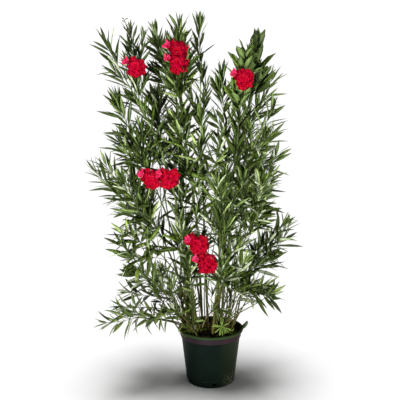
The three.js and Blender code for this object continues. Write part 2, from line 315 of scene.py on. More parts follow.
# %% [markdown]
# ## The pot
# A nursery pot is injection moulded in black-green polypropylene: a thin tapered wall, a stiff ring round
# its foot, a collar, and a rolled rim that hands can grip. All of that is one outline turned round an axis,
# so Geometry Nodes sweep it: a few corner points become a curve, each corner is rounded by its own radius,
# and the curve runs round a circle. A boolean then cuts the drain notches.


# %% Turn an outline round the axis with Geometry Nodes
SAME_PLACE = 0.05 * MM


def new_tree(name, **inputs):
    """A Geometry Nodes tree with named inputs, each of a kind of socket. Returns it and its inputs."""
    tree = bpy.data.node_groups.new(name, "GeometryNodeTree")
    for key, kind in inputs.items():
        tree.interface.new_socket(key, in_out="INPUT", socket_type="NodeSocket" + kind)
    tree.interface.new_socket("Made", in_out="OUTPUT", socket_type="NodeSocketGeometry")
    return tree, add(tree, "NodeGroupInput").outputs


def end_tree(tree, geometry, finish):
    """Realizes what the tree made, gives it its material and sends it out."""
    real = add(tree, "GeometryNodeRealizeInstances", {"Geometry": geometry})
    done = add(tree, "GeometryNodeSetMaterial", {"Geometry": real.outputs["Geometry"], "Material": finish})
    add(tree, "NodeGroupOutput", {"Made": done.outputs["Geometry"]})
    return tree


def turning_tree():
    kinds = {"Outline": "Geometry", "Segments": "Int", "Wheel": "Float", "Finish": "Material"}
    tree, given = new_tree("turned shell", **kinds)
    outline = add(tree, "GeometryNodeMeshToCurve", {"Mesh": given["Outline"]})
    rounding = add(tree, "GeometryNodeInputNamedAttribute", {"Name": "rounding"}, data_type="FLOAT")
    soft = {"Curve": outline.outputs["Curve"], "Radius": rounding.outputs["Attribute"], "Count": 5}
    soft["Limit Radius"] = True
    rounded = add(tree, "GeometryNodeFilletCurve", soft, mode="POLY")
    circle = {"Resolution": given["Segments"], "Radius": given["Wheel"]}
    wheel = add(tree, "GeometryNodeCurvePrimitiveCircle", circle)
    sweep = {"Curve": wheel.outputs["Curve"], "Profile Curve": rounded.outputs["Curve"]}
    swept = add(tree, "GeometryNodeCurveToMesh", sweep)
    seam = {"Geometry": swept.outputs["Mesh"], "Distance": SAME_PLACE}
    joined = add(tree, "GeometryNodeMergeByDistance", seam)
    return end_tree(tree, joined.outputs["Geometry"], given["Finish"])


def run_tree(source, tree, **values):
    """Runs a Geometry Nodes tree on a mesh, its inputs set by identifier, and returns a plain mesh."""
    holder = in_scene("holder", source)
    modifier = holder.modifiers.new("grow", "NODES")
    modifier.node_group = tree
    sockets = {s.name: s.identifier for s in tree.interface.items_tree if s.in_out == "INPUT"}
    for name, value in values.items():
        modifier[sockets[name]] = value
    depsgraph = bpy.context.evaluated_depsgraph_get()
    made = bpy.data.meshes.new_from_object(holder.evaluated_get(depsgraph))
    holder.modifiers.remove(modifier)
    bpy.data.objects.remove(holder)
    return made


def facing_out(mesh):
    """Joins the points of a closed mesh that lie in one place, and turns all its faces out."""
    shell = bmesh.new()
    shell.from_mesh(mesh)
    bmesh.ops.remove_doubles(shell, verts=shell.verts, dist=SAME_PLACE)
    bmesh.ops.recalc_face_normals(shell, faces=shell.faces)
    shell.to_mesh(mesh)
    shell.free()
    return mesh


WHEEL = 0.1
turning = turning_tree()


def turned(outline, segments, finish):
    """A closed shell from [radius, height, corner rounding] in millimetres, given round its outline."""
    source = bpy.data.meshes.new("outline")
    points = [(r * MM - WHEEL, -z * MM, 0) for r, z, _ in outline]
    ends = [(i, (i + 1) % len(points)) for i in range(len(points))]
    source.from_pydata(points, ends, [])
    rounding = source.attributes.new("rounding", "FLOAT", "POINT")
    rounding.data.foreach_set("value", [c * MM for _, _, c in outline])
    mesh = run_tree(source, turning, Segments=segments, Wheel=WHEEL, Finish=finish)
    return facing_out(mesh)


print("turning tree has", len(turning.nodes), "nodes")

# %% [markdown]
# ## Plastic for the pot
# Injection-moulded polypropylene, coloured through, with a satin skin. What the eye gets: an almost black
# green, a broad soft gleam, and dust and scuffs that gather near the ground. The right side is a little
# lighter: painted light, as if lit from that side. The rim is a lighter olive, partly painted highlight and
# partly dust. The band is the same plastic in a dull plum brown, printed on the collar, with the same
# painted lit side. Real dust and scratches are finer than a millimetre. They are drawn about 6 mm wide,
# because finer ones don't show from where we stand.


# %% Moulded plastic
def moulded_plastic(name, dark, light, painted_lit_side, edge="#2c3a1e"):
    values = {"Roughness": 0.5, "IOR": 1.49, "Specular IOR Level": 0.06}
    made, tree, shader, where = new_material(name, values)
    place = add(tree, "ShaderNodeSeparateXYZ", {"Vector": where}).outputs
    cloud = add(tree, "ShaderNodeTexNoise", {"Vector": where, "Scale": grains(71.43), "Detail": 5.0})
    body = add(tree, "ShaderNodeValToRGB", {"Fac": cloud.outputs["Fac"]})
    stops(body, (0.35, dark), (0.7, light))
    grit = {"Vector": where, "Scale": grains(5.882), "Detail": 6.0, "Roughness": 0.75}
    grit = add(tree, "ShaderNodeTexNoise", grit).outputs["Fac"]
    # Each share rises to its top between two places, or two values of the grit.
    shares = {
        # The lighter colour towards the right side is painted light, as if the pot were lit from the right.
        "painted lit side": (place["X"], 0.03, 0.14, 0.8),
        # The rim's lighter olive is partly a painted highlight on the lit rolled rim and partly dust.
        "rim": (place["Z"], 0.236, 0.243, 0.8),
        "foot": (place["Z"], 0.065, 0.035, 1.0),
        "specks": (grit, 0.57, 0.61, 0.95),
        "right side": (place["X"], 0.045, 0.085, 1.0),
    }
    for key, (value, start, end, top) in shares.items():
        span = {"Value": value, "From Min": start, "From Max": end, "To Max": top}
        shares[key] = add(tree, "ShaderNodeMapRange", span).outputs["Result"]
    dust = shares["foot"]
    for key in ("specks", "right side"):
        dust = add(tree, "ShaderNodeMath", {0: dust, 1: shares[key]}, operation="MULTIPLY").outputs["Value"]
    colour = body.outputs["Color"]
    # The first colour is painted light on the right side, the rim's is partly painted highlight and partly
    # dust, the last is real dust.
    for code, share in ((painted_lit_side, shares["painted lit side"]), (edge, shares["rim"]), ("#bdbba6", dust)):
        layers = {"Factor": share, 6: colour, 7: linear(code)}
        colour = add(tree, "ShaderNodeMix", layers, data_type="RGBA").outputs[2]
    coat(tree, shader, colour, grit, 0.25, 0.4)
    return made


pot_plastic = moulded_plastic("moulded polypropylene, black green", "#050f0b", "#09160f", "#232914")
band_plastic = moulded_plastic("printed polypropylene, plum brown", "#1f161a", "#2b1c26", "#2c1a1c")
# The tab is painted a lighter olive all over: painted light, standing in for its lit top face.
lit_tab_plastic = moulded_plastic("moulded polypropylene, tab painted as lit", "#2c3820", "#414f32", "#4c5b3a", "#4c5b3a")
print(pot_plastic.name)

# %% [markdown]
# ## Pot, band and the tab on the rim
# The outline follows the CAD pot's own sizes: its foot, the ring 30 mm up, the collar and the rolled rim.
# The tab on the right is a strip of the same plastic, bent out and up, where a carrying handle clips on.

# %% Turn the pot and cut its drain notches
POT_OUTLINE = [
    *((0, 4, 0), (92, 4, 1), (96, 0.1, 2), (104.5, 0.1, 2.5), (110.6, 28, 1.5), (110.0, 31, 1)),
    *((130.4, 206, 2), (134, 211, 2), (134, 235.5, 1.5), (143, 236, 2), (145.2, 240, 3), (144.8, 247, 5)),
    *((138, 250.5, 4), (131.3, 248, 3), (130.3, 205, 3), (107, 30, 1), (103.6, 7, 3), (0, 7, 0)),
]
BAND_OUTLINE = [(133.9, 212.2, 0), (134.9, 212.6, 0.3), (134.9, 233.4, 0.3), (133.9, 233.8, 0)]
TURNED_SIDES = 144
NOTCHES = 6
NOTCH_TURN = math.radians(-82)
NOTCH_RADIUS, NOTCH_DEPTH, NOTCH_HEIGHT, NOTCH_OUT = 0.0075, 0.03, 0.017, 0.106


def cut_notches(mesh):
    """Oval drain notches round the foot, cut with the exact boolean."""
    cutter_mesh = bmesh.new()
    for i in range(NOTCHES):
        turn = NOTCH_TURN + 2 * math.pi * i / NOTCHES
        sizes = {"radius1": NOTCH_RADIUS, "radius2": NOTCH_RADIUS, "depth": NOTCH_DEPTH}
        ring = bmesh.ops.create_cone(cutter_mesh, cap_ends=True, segments=24, **sizes)
        for vert in ring["verts"]:
            x, y, z = vert.co
            out, side, up = NOTCH_OUT + z, 1.25 * y, NOTCH_HEIGHT + 0.85 * x
            c, s = math.cos(turn), math.sin(turn)
            vert.co = (out * c - side * s, out * s + side * c, up)
    bmesh.ops.recalc_face_normals(cutter_mesh, faces=cutter_mesh.faces)
    shell, cutter = in_scene("shell", mesh), in_scene("cutter", bpy.data.meshes.new("cutter"))
    cutter_mesh.to_mesh(cutter.data)
    cutter_mesh.free()
    cut = shell.modifiers.new("cut", "BOOLEAN")
    cut.object, cut.operation, cut.solver = cutter, "DIFFERENCE", "EXACT"
    made = bpy.data.meshes.new_from_object(shell.evaluated_get(bpy.context.evaluated_depsgraph_get()))
    for thing in (shell, cutter):
        bpy.data.objects.remove(thing)
    return made


pot_mesh = cut_notches(turned(POT_OUTLINE, TURNED_SIDES, pot_plastic))
pot_mesh.shade_smooth()
pot_mesh.set_sharp_from_angle(angle=math.radians(38))
pot = place("pot_moulded", pot_mesh, [pot_plastic], "pot")
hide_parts("pot")
band_mesh = turned(BAND_OUTLINE, TURNED_SIDES, band_plastic)
band = place("band_printed", band_mesh, [band_plastic], "band")
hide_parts("colour_band")

# %% Bend the tab
TAB_TURN = math.radians(8)
TAB_LINE = ((131, 236), (139, 237), (147, 240), (154, 245), (159, 251), (163, 256), (166, 261), (166.5, 266))
TAB_HALF = (14, 14, 14, 14, 13, 12, 10, 7)
TAB_THICK = (8, 8.5, 9, 9, 8.5, 8, 7, 4)


def bent_tab():
    """A strip swept along a bent line in the plane that leaves the pot at the tab's bearing."""
    line = np.array(TAB_LINE)
    c, s = math.cos(TAB_TURN), math.sin(TAB_TURN)
    points = []
    for k, (r, z) in enumerate(line):
        dr, dz = line[min(k + 1, len(line) - 1)] - line[max(k - 1, 0)]
        length = math.hypot(dr, dz)
        nr, nz = -dz / length * TAB_THICK[k] / 2, dr / length * TAB_THICK[k] / 2
        for side, sign in ((-1, 1), (1, 1), (1, -1), (-1, -1)):
            x, y = (r + sign * nr) * MM, side * TAB_HALF[k] * MM
            points.append((x * c - y * s, x * s + y * c, (z + sign * nz) * MM))
    faces = ring_faces(len(line), 4) + [(0, 1, 2, 3), tuple(range(len(points) - 4, len(points)))]
    mesh = bpy.data.meshes.new("rim_tab")
    mesh.from_pydata(points, [], faces)
    facing_out(mesh).shade_smooth()
    return mesh


tab = place("rim_tab", bent_tab(), [lit_tab_plastic], "pot")
softened = tab.modifiers.new("bevel", "BEVEL")
softened.width, softened.segments, softened.limit_method = 1.2 * MM, 2, "ANGLE"
rounded = tab.modifiers.new("subsurf", "SUBSURF")
rounded.levels = rounded.render_levels = 2
print("pot, band and tab")

# %% [markdown]
# ## Reading the limbs
# The twigs have to grow on from the limbs, so we need each limb's middle line. The CAD limb is a faceted
# taper. We cut it with planes across its length, take the middle of each cut, and lay a smooth curve
# through them. The thicker end is its foot. Its radius is a straight taper between two cuts near its ends.


# %% Middle lines of the limbs
def mesh_arrays(node):
    mesh = nodes[node].data
    mesh.calc_loop_triangles()
    points = np.array([v.co for v in mesh.vertices])
    triangles = np.array([t.vertices for t in mesh.loop_triangles])
    return points, triangles


def cross_section(corners, height):
    """The middle and mean radius where a plane cuts triangles, from each corner's height over it."""
    segments = []
    for tri, h in zip(corners, height):
        ends = []
        for i in range(3):
            j = (i + 1) % 3
            if (h[i] > 0) != (h[j] > 0):
                ends.append(tri[i] + (tri[j] - tri[i]) * h[i] / (h[i] - h[j]))
        if len(ends) == 2:
            segments.append(ends)
    a, b = np.array(segments).transpose(1, 0, 2)
    weight = np.linalg.norm(b - a, axis=1)[:, None]
    middle = ((a + b) / 2 * weight).sum(0) / weight.sum()
    radius = (np.linalg.norm((a + b) / 2 - middle, axis=1)[:, None] * weight).sum() / weight.sum()
    return middle, radius


CUTS = 16
FINE_ROWS = 200
FOOT_AND_TIP = [0.18, 0.84]


def read_limb(node, rows):
    """rows points along a limb's smooth middle line, foot first, and the radii there."""
    points, triangles = mesh_arrays(node)
    centre = points.mean(0)
    axis = np.linalg.svd(points - centre, full_matrices=False)[2][0]
    along = (points - centre) @ axis
    corners = points[triangles]
    heights = along[triangles]
    lo, hi = along.min(), along.max()
    cuts = lo + (hi - lo) * np.linspace(0.02, 0.98, CUTS)
    found = [cross_section(corners, heights - cut) for cut in cuts]
    middles = np.array([m for m, _ in found])
    curve = [np.polynomial.Polynomial.fit(cuts, middles[:, k], 4) for k in range(3)]
    fine = np.linspace(lo, hi, FINE_ROWS)
    line = np.stack([c(fine) for c in curve], axis=1)
    slant = np.abs(unit(np.gradient(line, axis=0)) @ axis)
    radius = np.array([r for _, r in found]) * 2 / (1 + 1 / np.interp(cuts, fine, slant))
    if radius[-3:].mean() > radius[:3].mean():
        line, radius = line[::-1], radius[::-1]
    walked = np.concatenate([[0], np.cumsum(np.linalg.norm(np.diff(line, axis=0), axis=1))])
    stops_at = np.linspace(0, walked[-1], rows)
    line = np.stack([np.interp(stops_at, walked, line[:, k]) for k in range(3)], axis=1)
    thick, thin = radius[2:5].mean(), radius[-4:-1].mean()
    return line, np.interp(np.linspace(0, 1, rows), FOOT_AND_TIP, [thick, thin]), walked[-1]


RING_STEP = 0.006
lines = {}
for name in limbs:
    _, _, length = read_limb(name, 8)
    lines[name] = read_limb(name, max(8, int(length / RING_STEP)))
print("longest limb", round(max(length for _, _, length in lines.values()), 3), "m")

# %% [markdown]
# ## Bark
# Oleander stems stay green for years, then turn a smooth olive grey-brown from the foot up. The eye sees
# warm olive near the soil, fresher green above, pale corky specks, and raised rings where whorls of leaves
# have dropped. The colour follows height, the specks are noise, and the rings are real relief. A real
# corky speck is about a millimetre wide. Here it is drawn 2.4 mm wide, so that it shows.


# %% Bark and green shoots
DRIFT = 0.22


def bark(name, foot, middle, top, foot_height, top_height):
    """A smooth skin that goes from one colour to another between two heights, with corky specks."""
    made, tree, shader, where = new_material(name, {"Roughness": 0.62, "Specular IOR Level": 0.22})
    height = add(tree, "ShaderNodeSeparateXYZ", {"Vector": where}).outputs["Z"]
    cloud = add(tree, "ShaderNodeTexNoise", {"Vector": where, "Scale": grains(45.455), "Detail": 4.0})
    drift = {0: cloud.outputs["Fac"], 1: DRIFT, 2: height}
    drift = add(tree, "ShaderNodeMath", drift, operation="MULTIPLY_ADD").outputs["Value"]
    share = {"Value": drift, "From Min": foot_height + DRIFT / 2, "From Max": top_height + DRIFT / 2}
    tone = add(tree, "ShaderNodeMapRange", share)
    green = add(tree, "ShaderNodeValToRGB", {"Fac": tone.outputs["Result"]})
    stops(green, (0.0, foot), (0.45, middle), (1.0, top))
    squeeze = add(tree, "ShaderNodeMapping", {"Vector": where, "Scale": (1.0, 1.0, 0.35)})
    cork = {"Vector": squeeze.outputs["Vector"], "Scale": grains(2.381), "Detail": 3.0}
    cork = add(tree, "ShaderNodeTexNoise", cork).outputs["Fac"]
    specks = {"Value": cork, "From Min": 0.56, "From Max": 0.72, "To Max": 0.5}
    specks = add(tree, "ShaderNodeMapRange", specks).outputs["Result"]
    layers = {"Factor": specks, 6: green.outputs["Color"], 7: linear("#625c34")}
    colour = add(tree, "ShaderNodeMix", layers, data_type="RGBA").outputs[2]
    coat(tree, shader, colour, cork, 0.5, 0.6)
    return made


cane_bark = bark("olive bark of a young cane", "#454112", "#373d12", "#304012", 0.25, 0.95)
shoot_skin = bark("green skin of a shoot", "#3b3810", "#303e12", "#3a4c18", 0.25, 0.9)
print(cane_bark.name)

# %% [markdown]
# ## Canes and boughs
# Each limb is a tube along its middle line. Near the soil it swells into a flare. Its radius carries slow
# ridges and a raised ring every few centimetres, as the real stem has at each old whorl. The tubes run a
# little way into the soil below and end where the CAD limb ends, where the twigs take over.

# %% Grow the canes and boughs
CANE_SIDES, BOUGH_SIDES = 12, 10
FLARE, FLARE_HEIGHT = 0.5, 0.03
ROWS_IN_SOIL = 1.6
WHORL_STEP, RING_WIDTH = 0.036, 0.0028
RIDGE, LUMP, RING_RISE = 0.035, 0.05, 0.14


def limb_relief(line, radii, seed):
    rng = np.random.default_rng([SEED, seed])
    phase = rng.uniform(0, 2 * np.pi, 6)
    step = np.linalg.norm(line[1] - line[0])

    def relief(turns, row):
        s = row * step
        ridges = np.sin(3 * turns + phase[0] + 9 * s) + 0.7 * np.sin(5 * turns + phase[1] - 23 * s)
        lumps = np.sin(140 * s + phase[2] + 2 * turns) * np.sin(61 * s + phase[3])
        ring = math.exp(-((((s + phase[4] / 90) % WHORL_STEP) - WHORL_STEP / 2) / RING_WIDTH) ** 2)
        return radii[row] * (RIDGE * ridges + LUMP * lumps + RING_RISE * ring)

    return relief


def grow_limbs(kind, piece_name):
    pile = Pile()
    for seed, name in enumerate(n for n in limbs if n.startswith(kind)):
        line, radii, _ = lines[name]
        if kind == "cane_":
            below = line[0] - (line[1] - line[0]) * ROWS_IN_SOIL
            line = np.concatenate([[below], line])
            radii = np.concatenate([[radii[0]], radii])
            up = np.maximum(line[:, 2] - line[0, 2], 0)
            radii = radii * (1 + FLARE * np.exp(-up / FLARE_HEIGHT * 2.2))
        sides = CANE_SIDES if kind == "cane_" else BOUGH_SIDES
        tube(pile, line, radii, sides, 0, limb_relief(line, radii, seed))
    made = pile.piece(piece_name, [cane_bark], "bark")
    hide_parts(*[n for n in limbs if n.startswith(kind)])


grow_limbs("cane_", "canes")
grow_limbs("bough_", "boughs")

# %% [markdown]
# ## Leaves
# An oleander leaf is a stiff narrow blade, 90 to 120 mm long and 12 to 18 wide, dark and waxy above, paler
# below, with a straight pale midrib. The leaves stand in whorls of three. A leaf here is a thin closed
# blade of five cross-sections and a tip: two halves that fold up a little from a raised rib, and a flatter
# underside. It bends back along its length. The broad leaves at the upper right and the weeds have an
# outline of their own. All leaves of a zone of the plant are worked out in one go.

# %% The leaf's shape
STATIONS = np.array([0.0, 0.08, 0.26, 0.5, 0.76, 1.0])
OUTLINE = np.array([0.10, 0.16, 0.78, 1.0, 0.66, 0.0])
BROAD_OUTLINE = np.array([0.10, 0.20, 0.80, 1.0, 0.92, 0.0])
RIB_HALF = 0.055
RIB_LIFT, UNDER_DROP = 0.4 * MM, 0.7 * MM
RING = 5


def leaf_faces():
    """The faces of a leaf and the part of the leaf that each is on, the same for every leaf."""
    rows = len(STATIONS) - 1
    faces = ring_faces(rows, RING)
    last, tip = (rows - 1) * RING, rows * RING
    faces += [(last + i, last + (i + 1) % RING, tip) for i in range(RING)]
    faces.append(tuple(reversed(range(RING))))
    return faces, ["blade", "rib", "blade", "under", "under"] * rows + ["rib"]


LEAF_FACES, LEAF_PARTS = leaf_faces()


def leaf_points(leaves):
    """Points of many leaves, from arrays with the numbers of each: its base, direction, length and so on."""
    d, n = leaves["along"], leaves["upper"]
    n = unit(n - (n * d).sum(1)[:, None] * d)
    side = np.cross(d, n)
    middle = leaves["base"].copy()
    rows = []
    last = 0.0
    for k, t in enumerate(STATIONS):
        angle = (leaves["bend"] * ((t + last) / 2) ** 1.2)[:, None]
        run = np.cos(angle) * d - np.sin(angle) * n
        middle = middle + run * (leaves["length"] * (t - last))[:, None]
        last = t
        if k == len(STATIONS) - 1:
            rows.append(middle[:, None])
            break
        here = (leaves["bend"] * t**1.2)[:, None]
        up = np.cos(here) * n + np.sin(here) * d
        twist = (leaves["twist"] * t)[:, None]
        across_leaf = np.cos(twist) * side + np.sin(twist) * up
        up = np.cos(twist) * up - np.sin(twist) * side
        shape = np.where(leaves["broad"], BROAD_OUTLINE[k], OUTLINE[k])
        half = (leaves["width"] / 2 * shape)[:, None]
        fold = leaves["fold"][:, None]
        rib = (leaves["width"] * RIB_HALF)[:, None] * (1 - 0.6 * t)
        rib = np.minimum(rib, 0.4 * half)
        out, rise = across_leaf * half * np.cos(fold), up * half * np.sin(fold)
        corners = [middle - out + rise, middle - across_leaf * rib + up * RIB_LIFT]
        corners += [middle + across_leaf * rib + up * RIB_LIFT, middle + out + rise]
        rows.append(np.stack([*corners, middle - up * UNDER_DROP], axis=1))
    return np.concatenate(rows, axis=1)


print("a leaf has", sum(len(f) - 2 for f in LEAF_FACES), "triangles")

# %% [markdown]
# ## Leaf materials
# The blade has a thick wax skin: a smooth leathery gloss over green that goes from blackish in old leaves
# to yellow-green in the newest. Each tint is one plain colour with a soft drift in it. The tints are dealt
# out by spray, because that is how they differ on the plant, and some leaves in each spray have a tint of
# their own. The underside is matt and grey-green. The grain of real wax is far finer than a millimetre. It
# is drawn 1.5 mm wide, as coarse as it needs to be to break up the gloss.


# %% Leaf materials
def leaf_skin(name, dark, light, roughness, grain):
    values = {"Roughness": roughness, "IOR": 1.45, "Specular IOR Level": 0.16}
    made, tree, shader, where = new_material(name, values)
    drift = add(tree, "ShaderNodeTexNoise", {"Vector": where, "Scale": grains(26.316), "Detail": 3.0})
    green = add(tree, "ShaderNodeValToRGB", {"Fac": drift.outputs["Fac"]})
    stops(green, (0.32, dark), (0.68, light))
    pores = add(tree, "ShaderNodeTexNoise", {"Vector": where, "Scale": grains(1.5385), "Detail": 2.0})
    coat(tree, shader, green.outputs["Color"], pores.outputs["Fac"], grain, 0.3)
    return made


TINTS = {
    "deep": ("#192405", "#242f0b"),
    "green": ("#263408", "#334211"),
    "mid": ("#3c4d16", "#4e6023"),
    "light": ("#606f3c", "#778551"),
    "fresh": ("#61712a", "#798940"),
    # The grey tint is partly the leaves' own pale grey-green and partly painted highlight: lit leaves with
    # the sky's sheen on them.
    "grey": ("#7c8468", "#979e84"),
}
tint_names = list(TINTS)
leaf_materials = [leaf_skin("waxy leaf, " + tint, *TINTS[tint], 0.38, 0.25) for tint in tint_names]
leaf_materials.append(leaf_skin("pale midrib", "#45551f", "#5a6a32", 0.45, 0.2))
RIB_SLOT = len(TINTS)
UNDERSIDES = {
    "old underside": ("#202c0a", "#2e3b13"),
    "matt underside": ("#3f4f24", "#526235"),
    "pale underside": ("#747e60", "#8d967a"),
}
UNDER_OF = {"deep": 0, "green": 0, "mid": 1, "light": 1, "fresh": 2, "grey": 2}
leaf_materials += [leaf_skin(name, *shades, 0.6, 0.35) for name, shades in UNDERSIDES.items()]
under_slots = [RIB_SLOT + 1 + UNDER_OF[tint] for tint in tint_names]
print(len(leaf_materials), "leaf materials")

# %% [markdown]
# ## How a spray grows
# The branching rule: where a limb ends in its mass, it runs on as a leading shoot to the mass's far end.
# Places for the tips of side shoots are scattered in the mass, a gap apart. Each side shoot leaves the stem
# low enough to lean out by FORK degrees, and curves up to the light. The tips keep clear of the mass's skin
# ahead, so that the last leaves fill the outline. A limb that only passes through a mass sends shoots from
# its own side. Every shoot carries whorls of three leaves, closest and steepest at its tip. Where the masses
# leave a gap, nothing grows, and the sky shows.

# %% Styles of the masses
BASE_STYLE = {
    "gap": 0.070,
    "leaf": (0.120, 0.0165),
    "angles": (22, 60),
    "step": 0.034,
    "droop": 0.25,
    "lift": 0.35,
    "tints": {"deep": 8, "green": 6, "mid": 3, "light": 3, "grey": 3},
    "broad": False,
    "bare": 0.05,
    "clear": 0.4,
    "spray": ("deep", "green", "mid"),
}
BRUSH = (16, 48)
DARK = {"deep": 8, "green": 6, "mid": 3, "light": 1}
PALER = {"deep": 5, "green": 4, "mid": 3, "light": 4, "grey": 6}
PALEST = {"deep": 2, "green": 4, "mid": 4, "light": 5, "fresh": 2, "grey": 8}
LOOSE = {"angles": (28, 76), "leaf": (0.112, 0.0205)}
STYLES = {
    "top_left": {"gap": 0.066, "clear": 0.8, "leaf": (0.114, 0.0168), "angles": BRUSH},
    "pale_sprig": {"gap": 0.047, "bare": 0.25, "leaf": (0.092, 0.0140), "angles": (16, 46)},
    "top_middle_left": {"gap": 0.055, "leaf": (0.104, 0.0170), "angles": BRUSH},
    "top_middle": {"gap": 0.042, "leaf": (0.112, 0.0175), "angles": BRUSH},
    "spire": {"gap": 0.058, "leaf": (0.088, 0.0140), "angles": (12, 30)},
    "slim": {"gap": 0.068, "leaf": (0.104, 0.0180), "angles": (14, 38), "tints": DARK},
    "broad_left": {"gap": 0.078, "clear": 0.25, "leaf": (0.116, 0.0390), "angles": (24, 46), "step": 0.046},
    "broad_right": {"gap": 0.076, "clear": 0.9, "leaf": (0.146, 0.0400), "angles": (10, 27), "step": 0.045},
    "right_upper": {"gap": 0.115, "leaf": (0.120, 0.0130)},
    "right_star": {"gap": 0.066, "clear": 0.9, "leaf": (0.116, 0.0160)},
    "right_low": {"gap": 0.070, "droop": 0.9, "lift": 0.0, "tints": PALEST, **LOOSE},
    "left_upper": {"gap": 0.052, "clear": 1.0, "tints": DARK},
    "left_middle": {"gap": 0.070, "clear": 0.5},
    "left_low": {"gap": 0.080, "clear": 0.15, "droop": 0.7, "lift": 0.05, "tints": PALEST, **LOOSE},
    "left_lower": {"gap": 0.116, "clear": 0.3, "droop": 0.9, "lift": 0.0, "tints": PALEST, **LOOSE},
    "left_lowest": {"gap": 0.120, "droop": 1.0, "lift": 0.05, **LOOSE, "leaf": (0.094, 0.0185)},
    "low_left": {"gap": 0.074, "angles": (30, 74), "leaf": (0.080, 0.0120), "tints": PALER},
}
STYLES["left_lowest"]["tints"] = {"green": 2, "mid": 3, "light": 4, "fresh": 4}
STYLES["left_lowest"]["spray"] = tuple(PALEST)
for name in ("broad_left", "broad_right"):
    STYLES[name].update({"broad": True, "tints": {"green": 3, "mid": 6, "light": 1}, "spray": ("mid",)})
for name in ("right_tip", "right_middle", "right_middle_low", "right_inner", "middle_right", "front_low"):
    STYLES[name] = {"tints": PALER, "angles": (24, 68), "leaf": (0.116, 0.0190)}
for name in ("right_inner", "front_low"):
    STYLES[name]["tints"] = PALEST
STYLES["right_tip"].update({"gap": 0.052, "clear": 0.45, "droop": 0.5})
GAPS = {
    0.150: ("left_behind",),
    0.130: ("back_left", "back_right"),
    0.120: ("middle_right",),
    0.080: ("right_middle_low", "left_inner"),
    0.092: ("centre",),
    0.084: ("front",),
    0.070: ("centre_left", "right_inner", "centre_left_high"),
    0.063: ("middle_left",),
    0.056: ("right_middle",),
}
for gap, names in GAPS.items():
    for name in names:
        STYLES[name] = {**STYLES.get(name, {}), "gap": gap}
SLEEVE_LIMB = {
    "centre_left_high": "cane_top_middle_left",
    "centre_left": "cane_top_middle_left",
    "centre": "cane_spire",
    "middle_right": "cane_right_upper",
    "middle_left": "cane_left_upper",
    "low_left": "cane_left_middle",
    "right_inner": "cane_right_middle",
}


def style_of(mass):
    return {**BASE_STYLE, **STYLES.get(mass, {})}


print(len(STYLES), "masses have a style of their own")


# %% Grow shoots in a mass
TIP_TRIES = 500
ALONG_SQUEEZE = 0.55
FORK = 36
LIMB_TAIL = 36
SHOOT_ROW = 0.02
FOOT_PULL, TIP_PULL = 0.35, 0.33
OUTWARD, THINNER = 0.7, 0.6
THICKEST_SHOOT, STEM_TIP = 0.0026, 0.0012
TIP_ROOM, LEAST_LEAD, LEAD_LIFT = 0.72, 0.35, 0.4


def mass_tree(node):
    points, triangles = mesh_arrays(node)
    return points, BVHTree.FromPolygons(points.tolist(), triangles.tolist())


def room(tree, start, direction):
    """How far it is from a point to the mass's skin in a direction, or 0 where a ray misses it."""
    return tree.ray_cast(Vector(start), Vector(direction))[3] or 0


def shoot_line(start, heading, end, lift):
    """A shoot from start to end that sets out along its heading and turns up at its tip by lift."""
    span = np.linalg.norm(end - start)
    finish = unit(unit(end - start) + vec(0, 0, lift))
    count = max(5, int(span / SHOOT_ROW))
    return bezier(start, start + heading * span * FOOT_PULL, end - finish * span * TIP_PULL, end, count)


def inside(tree, point):
    """True where a ray leaves the mass through the inner side of its skin, both up and down."""
    for way in ((0.1, 0.05, 1.0), (-0.08, 0.12, -1.0)):
        hit = tree.ray_cast(Vector(point), Vector(way))
        if hit[0] is None or hit[1].dot(Vector(way)) < 0:
            return False
    return True


def scatter_tips(points, tree, heading, style, rng):
    """Places inside a mass where shoots end, a gap apart, and clear of the skin ahead of them."""
    low, high = points.min(0), points.max(0)
    chosen = []
    for _ in range(TIP_TRIES):
        p = rng.uniform(low, high)
        if not inside(tree, p) or room(tree, p, heading) < style["clear"] * style["leaf"][0]:
            continue
        apart = [q - p for q in chosen]
        squeezed = [np.linalg.norm(a - (1 - ALONG_SQUEEZE) * (a @ heading) * heading) for a in apart]
        if not squeezed or min(squeezed) > style["gap"]:
            chosen.append(p)
    return chosen


def side_shoot(stem, radii, goal, style):
    """A shoot from a stem to a goal. It leaves low enough on the stem to lean out by FORK degrees."""
    away = np.linalg.norm(stem - goal, axis=1)
    nearest = int(away.argmin())
    step = np.linalg.norm(stem[1] - stem[0])
    back = int(away[nearest] / math.tan(math.radians(FORK)) / step)
    k = min(max(nearest - back, 0), len(stem) - 2)
    heading = unit(stem[k + 1] - stem[k])
    leave = unit(heading + OUTWARD * unit(goal - stem[k]))
    return shoot_line(stem[k], leave, goal, style["lift"]), min(radii[k] * THINNER, THICKEST_SHOOT)


def grow_mass(mass, limb, style, rng, sleeve):
    """The shoots of a mass, as (line, foot radius): the leading one first where the limb ends inside."""
    line, radii, _ = lines[limb]
    points, tree = mass_tree("leaves_" + mass)
    if sleeve:
        k = int(np.linalg.norm(line - points.mean(0), axis=1).argmin())
        heading = unit(line[min(k + 4, len(line) - 1)] - line[max(k - 4, 0)])
        made, stem, thick = [], line, radii
    else:
        start, heading = line[-1], unit(line[-1] - line[-3])
        far = ((points - start) @ heading).max()
        aim = unit(unit(points.mean(0) - start) + heading)
        end = start + aim * max(far - style["leaf"][0] * TIP_ROOM, LEAST_LEAD * far)
        lead = shoot_line(start, heading, end, style["lift"] * LEAD_LIFT)
        made = [(lead, radii[-1])]
        stem = np.concatenate([line[-LIMB_TAIL:-1], lead])
        thick = np.concatenate([radii[-LIMB_TAIL:-1], np.linspace(radii[-1], STEM_TIP, len(lead))])
    goals = scatter_tips(points, tree, heading, style, rng)
    goals.sort(key=lambda g: float(g @ heading))
    return made + [side_shoot(stem, thick, goal, style) for goal in goals]


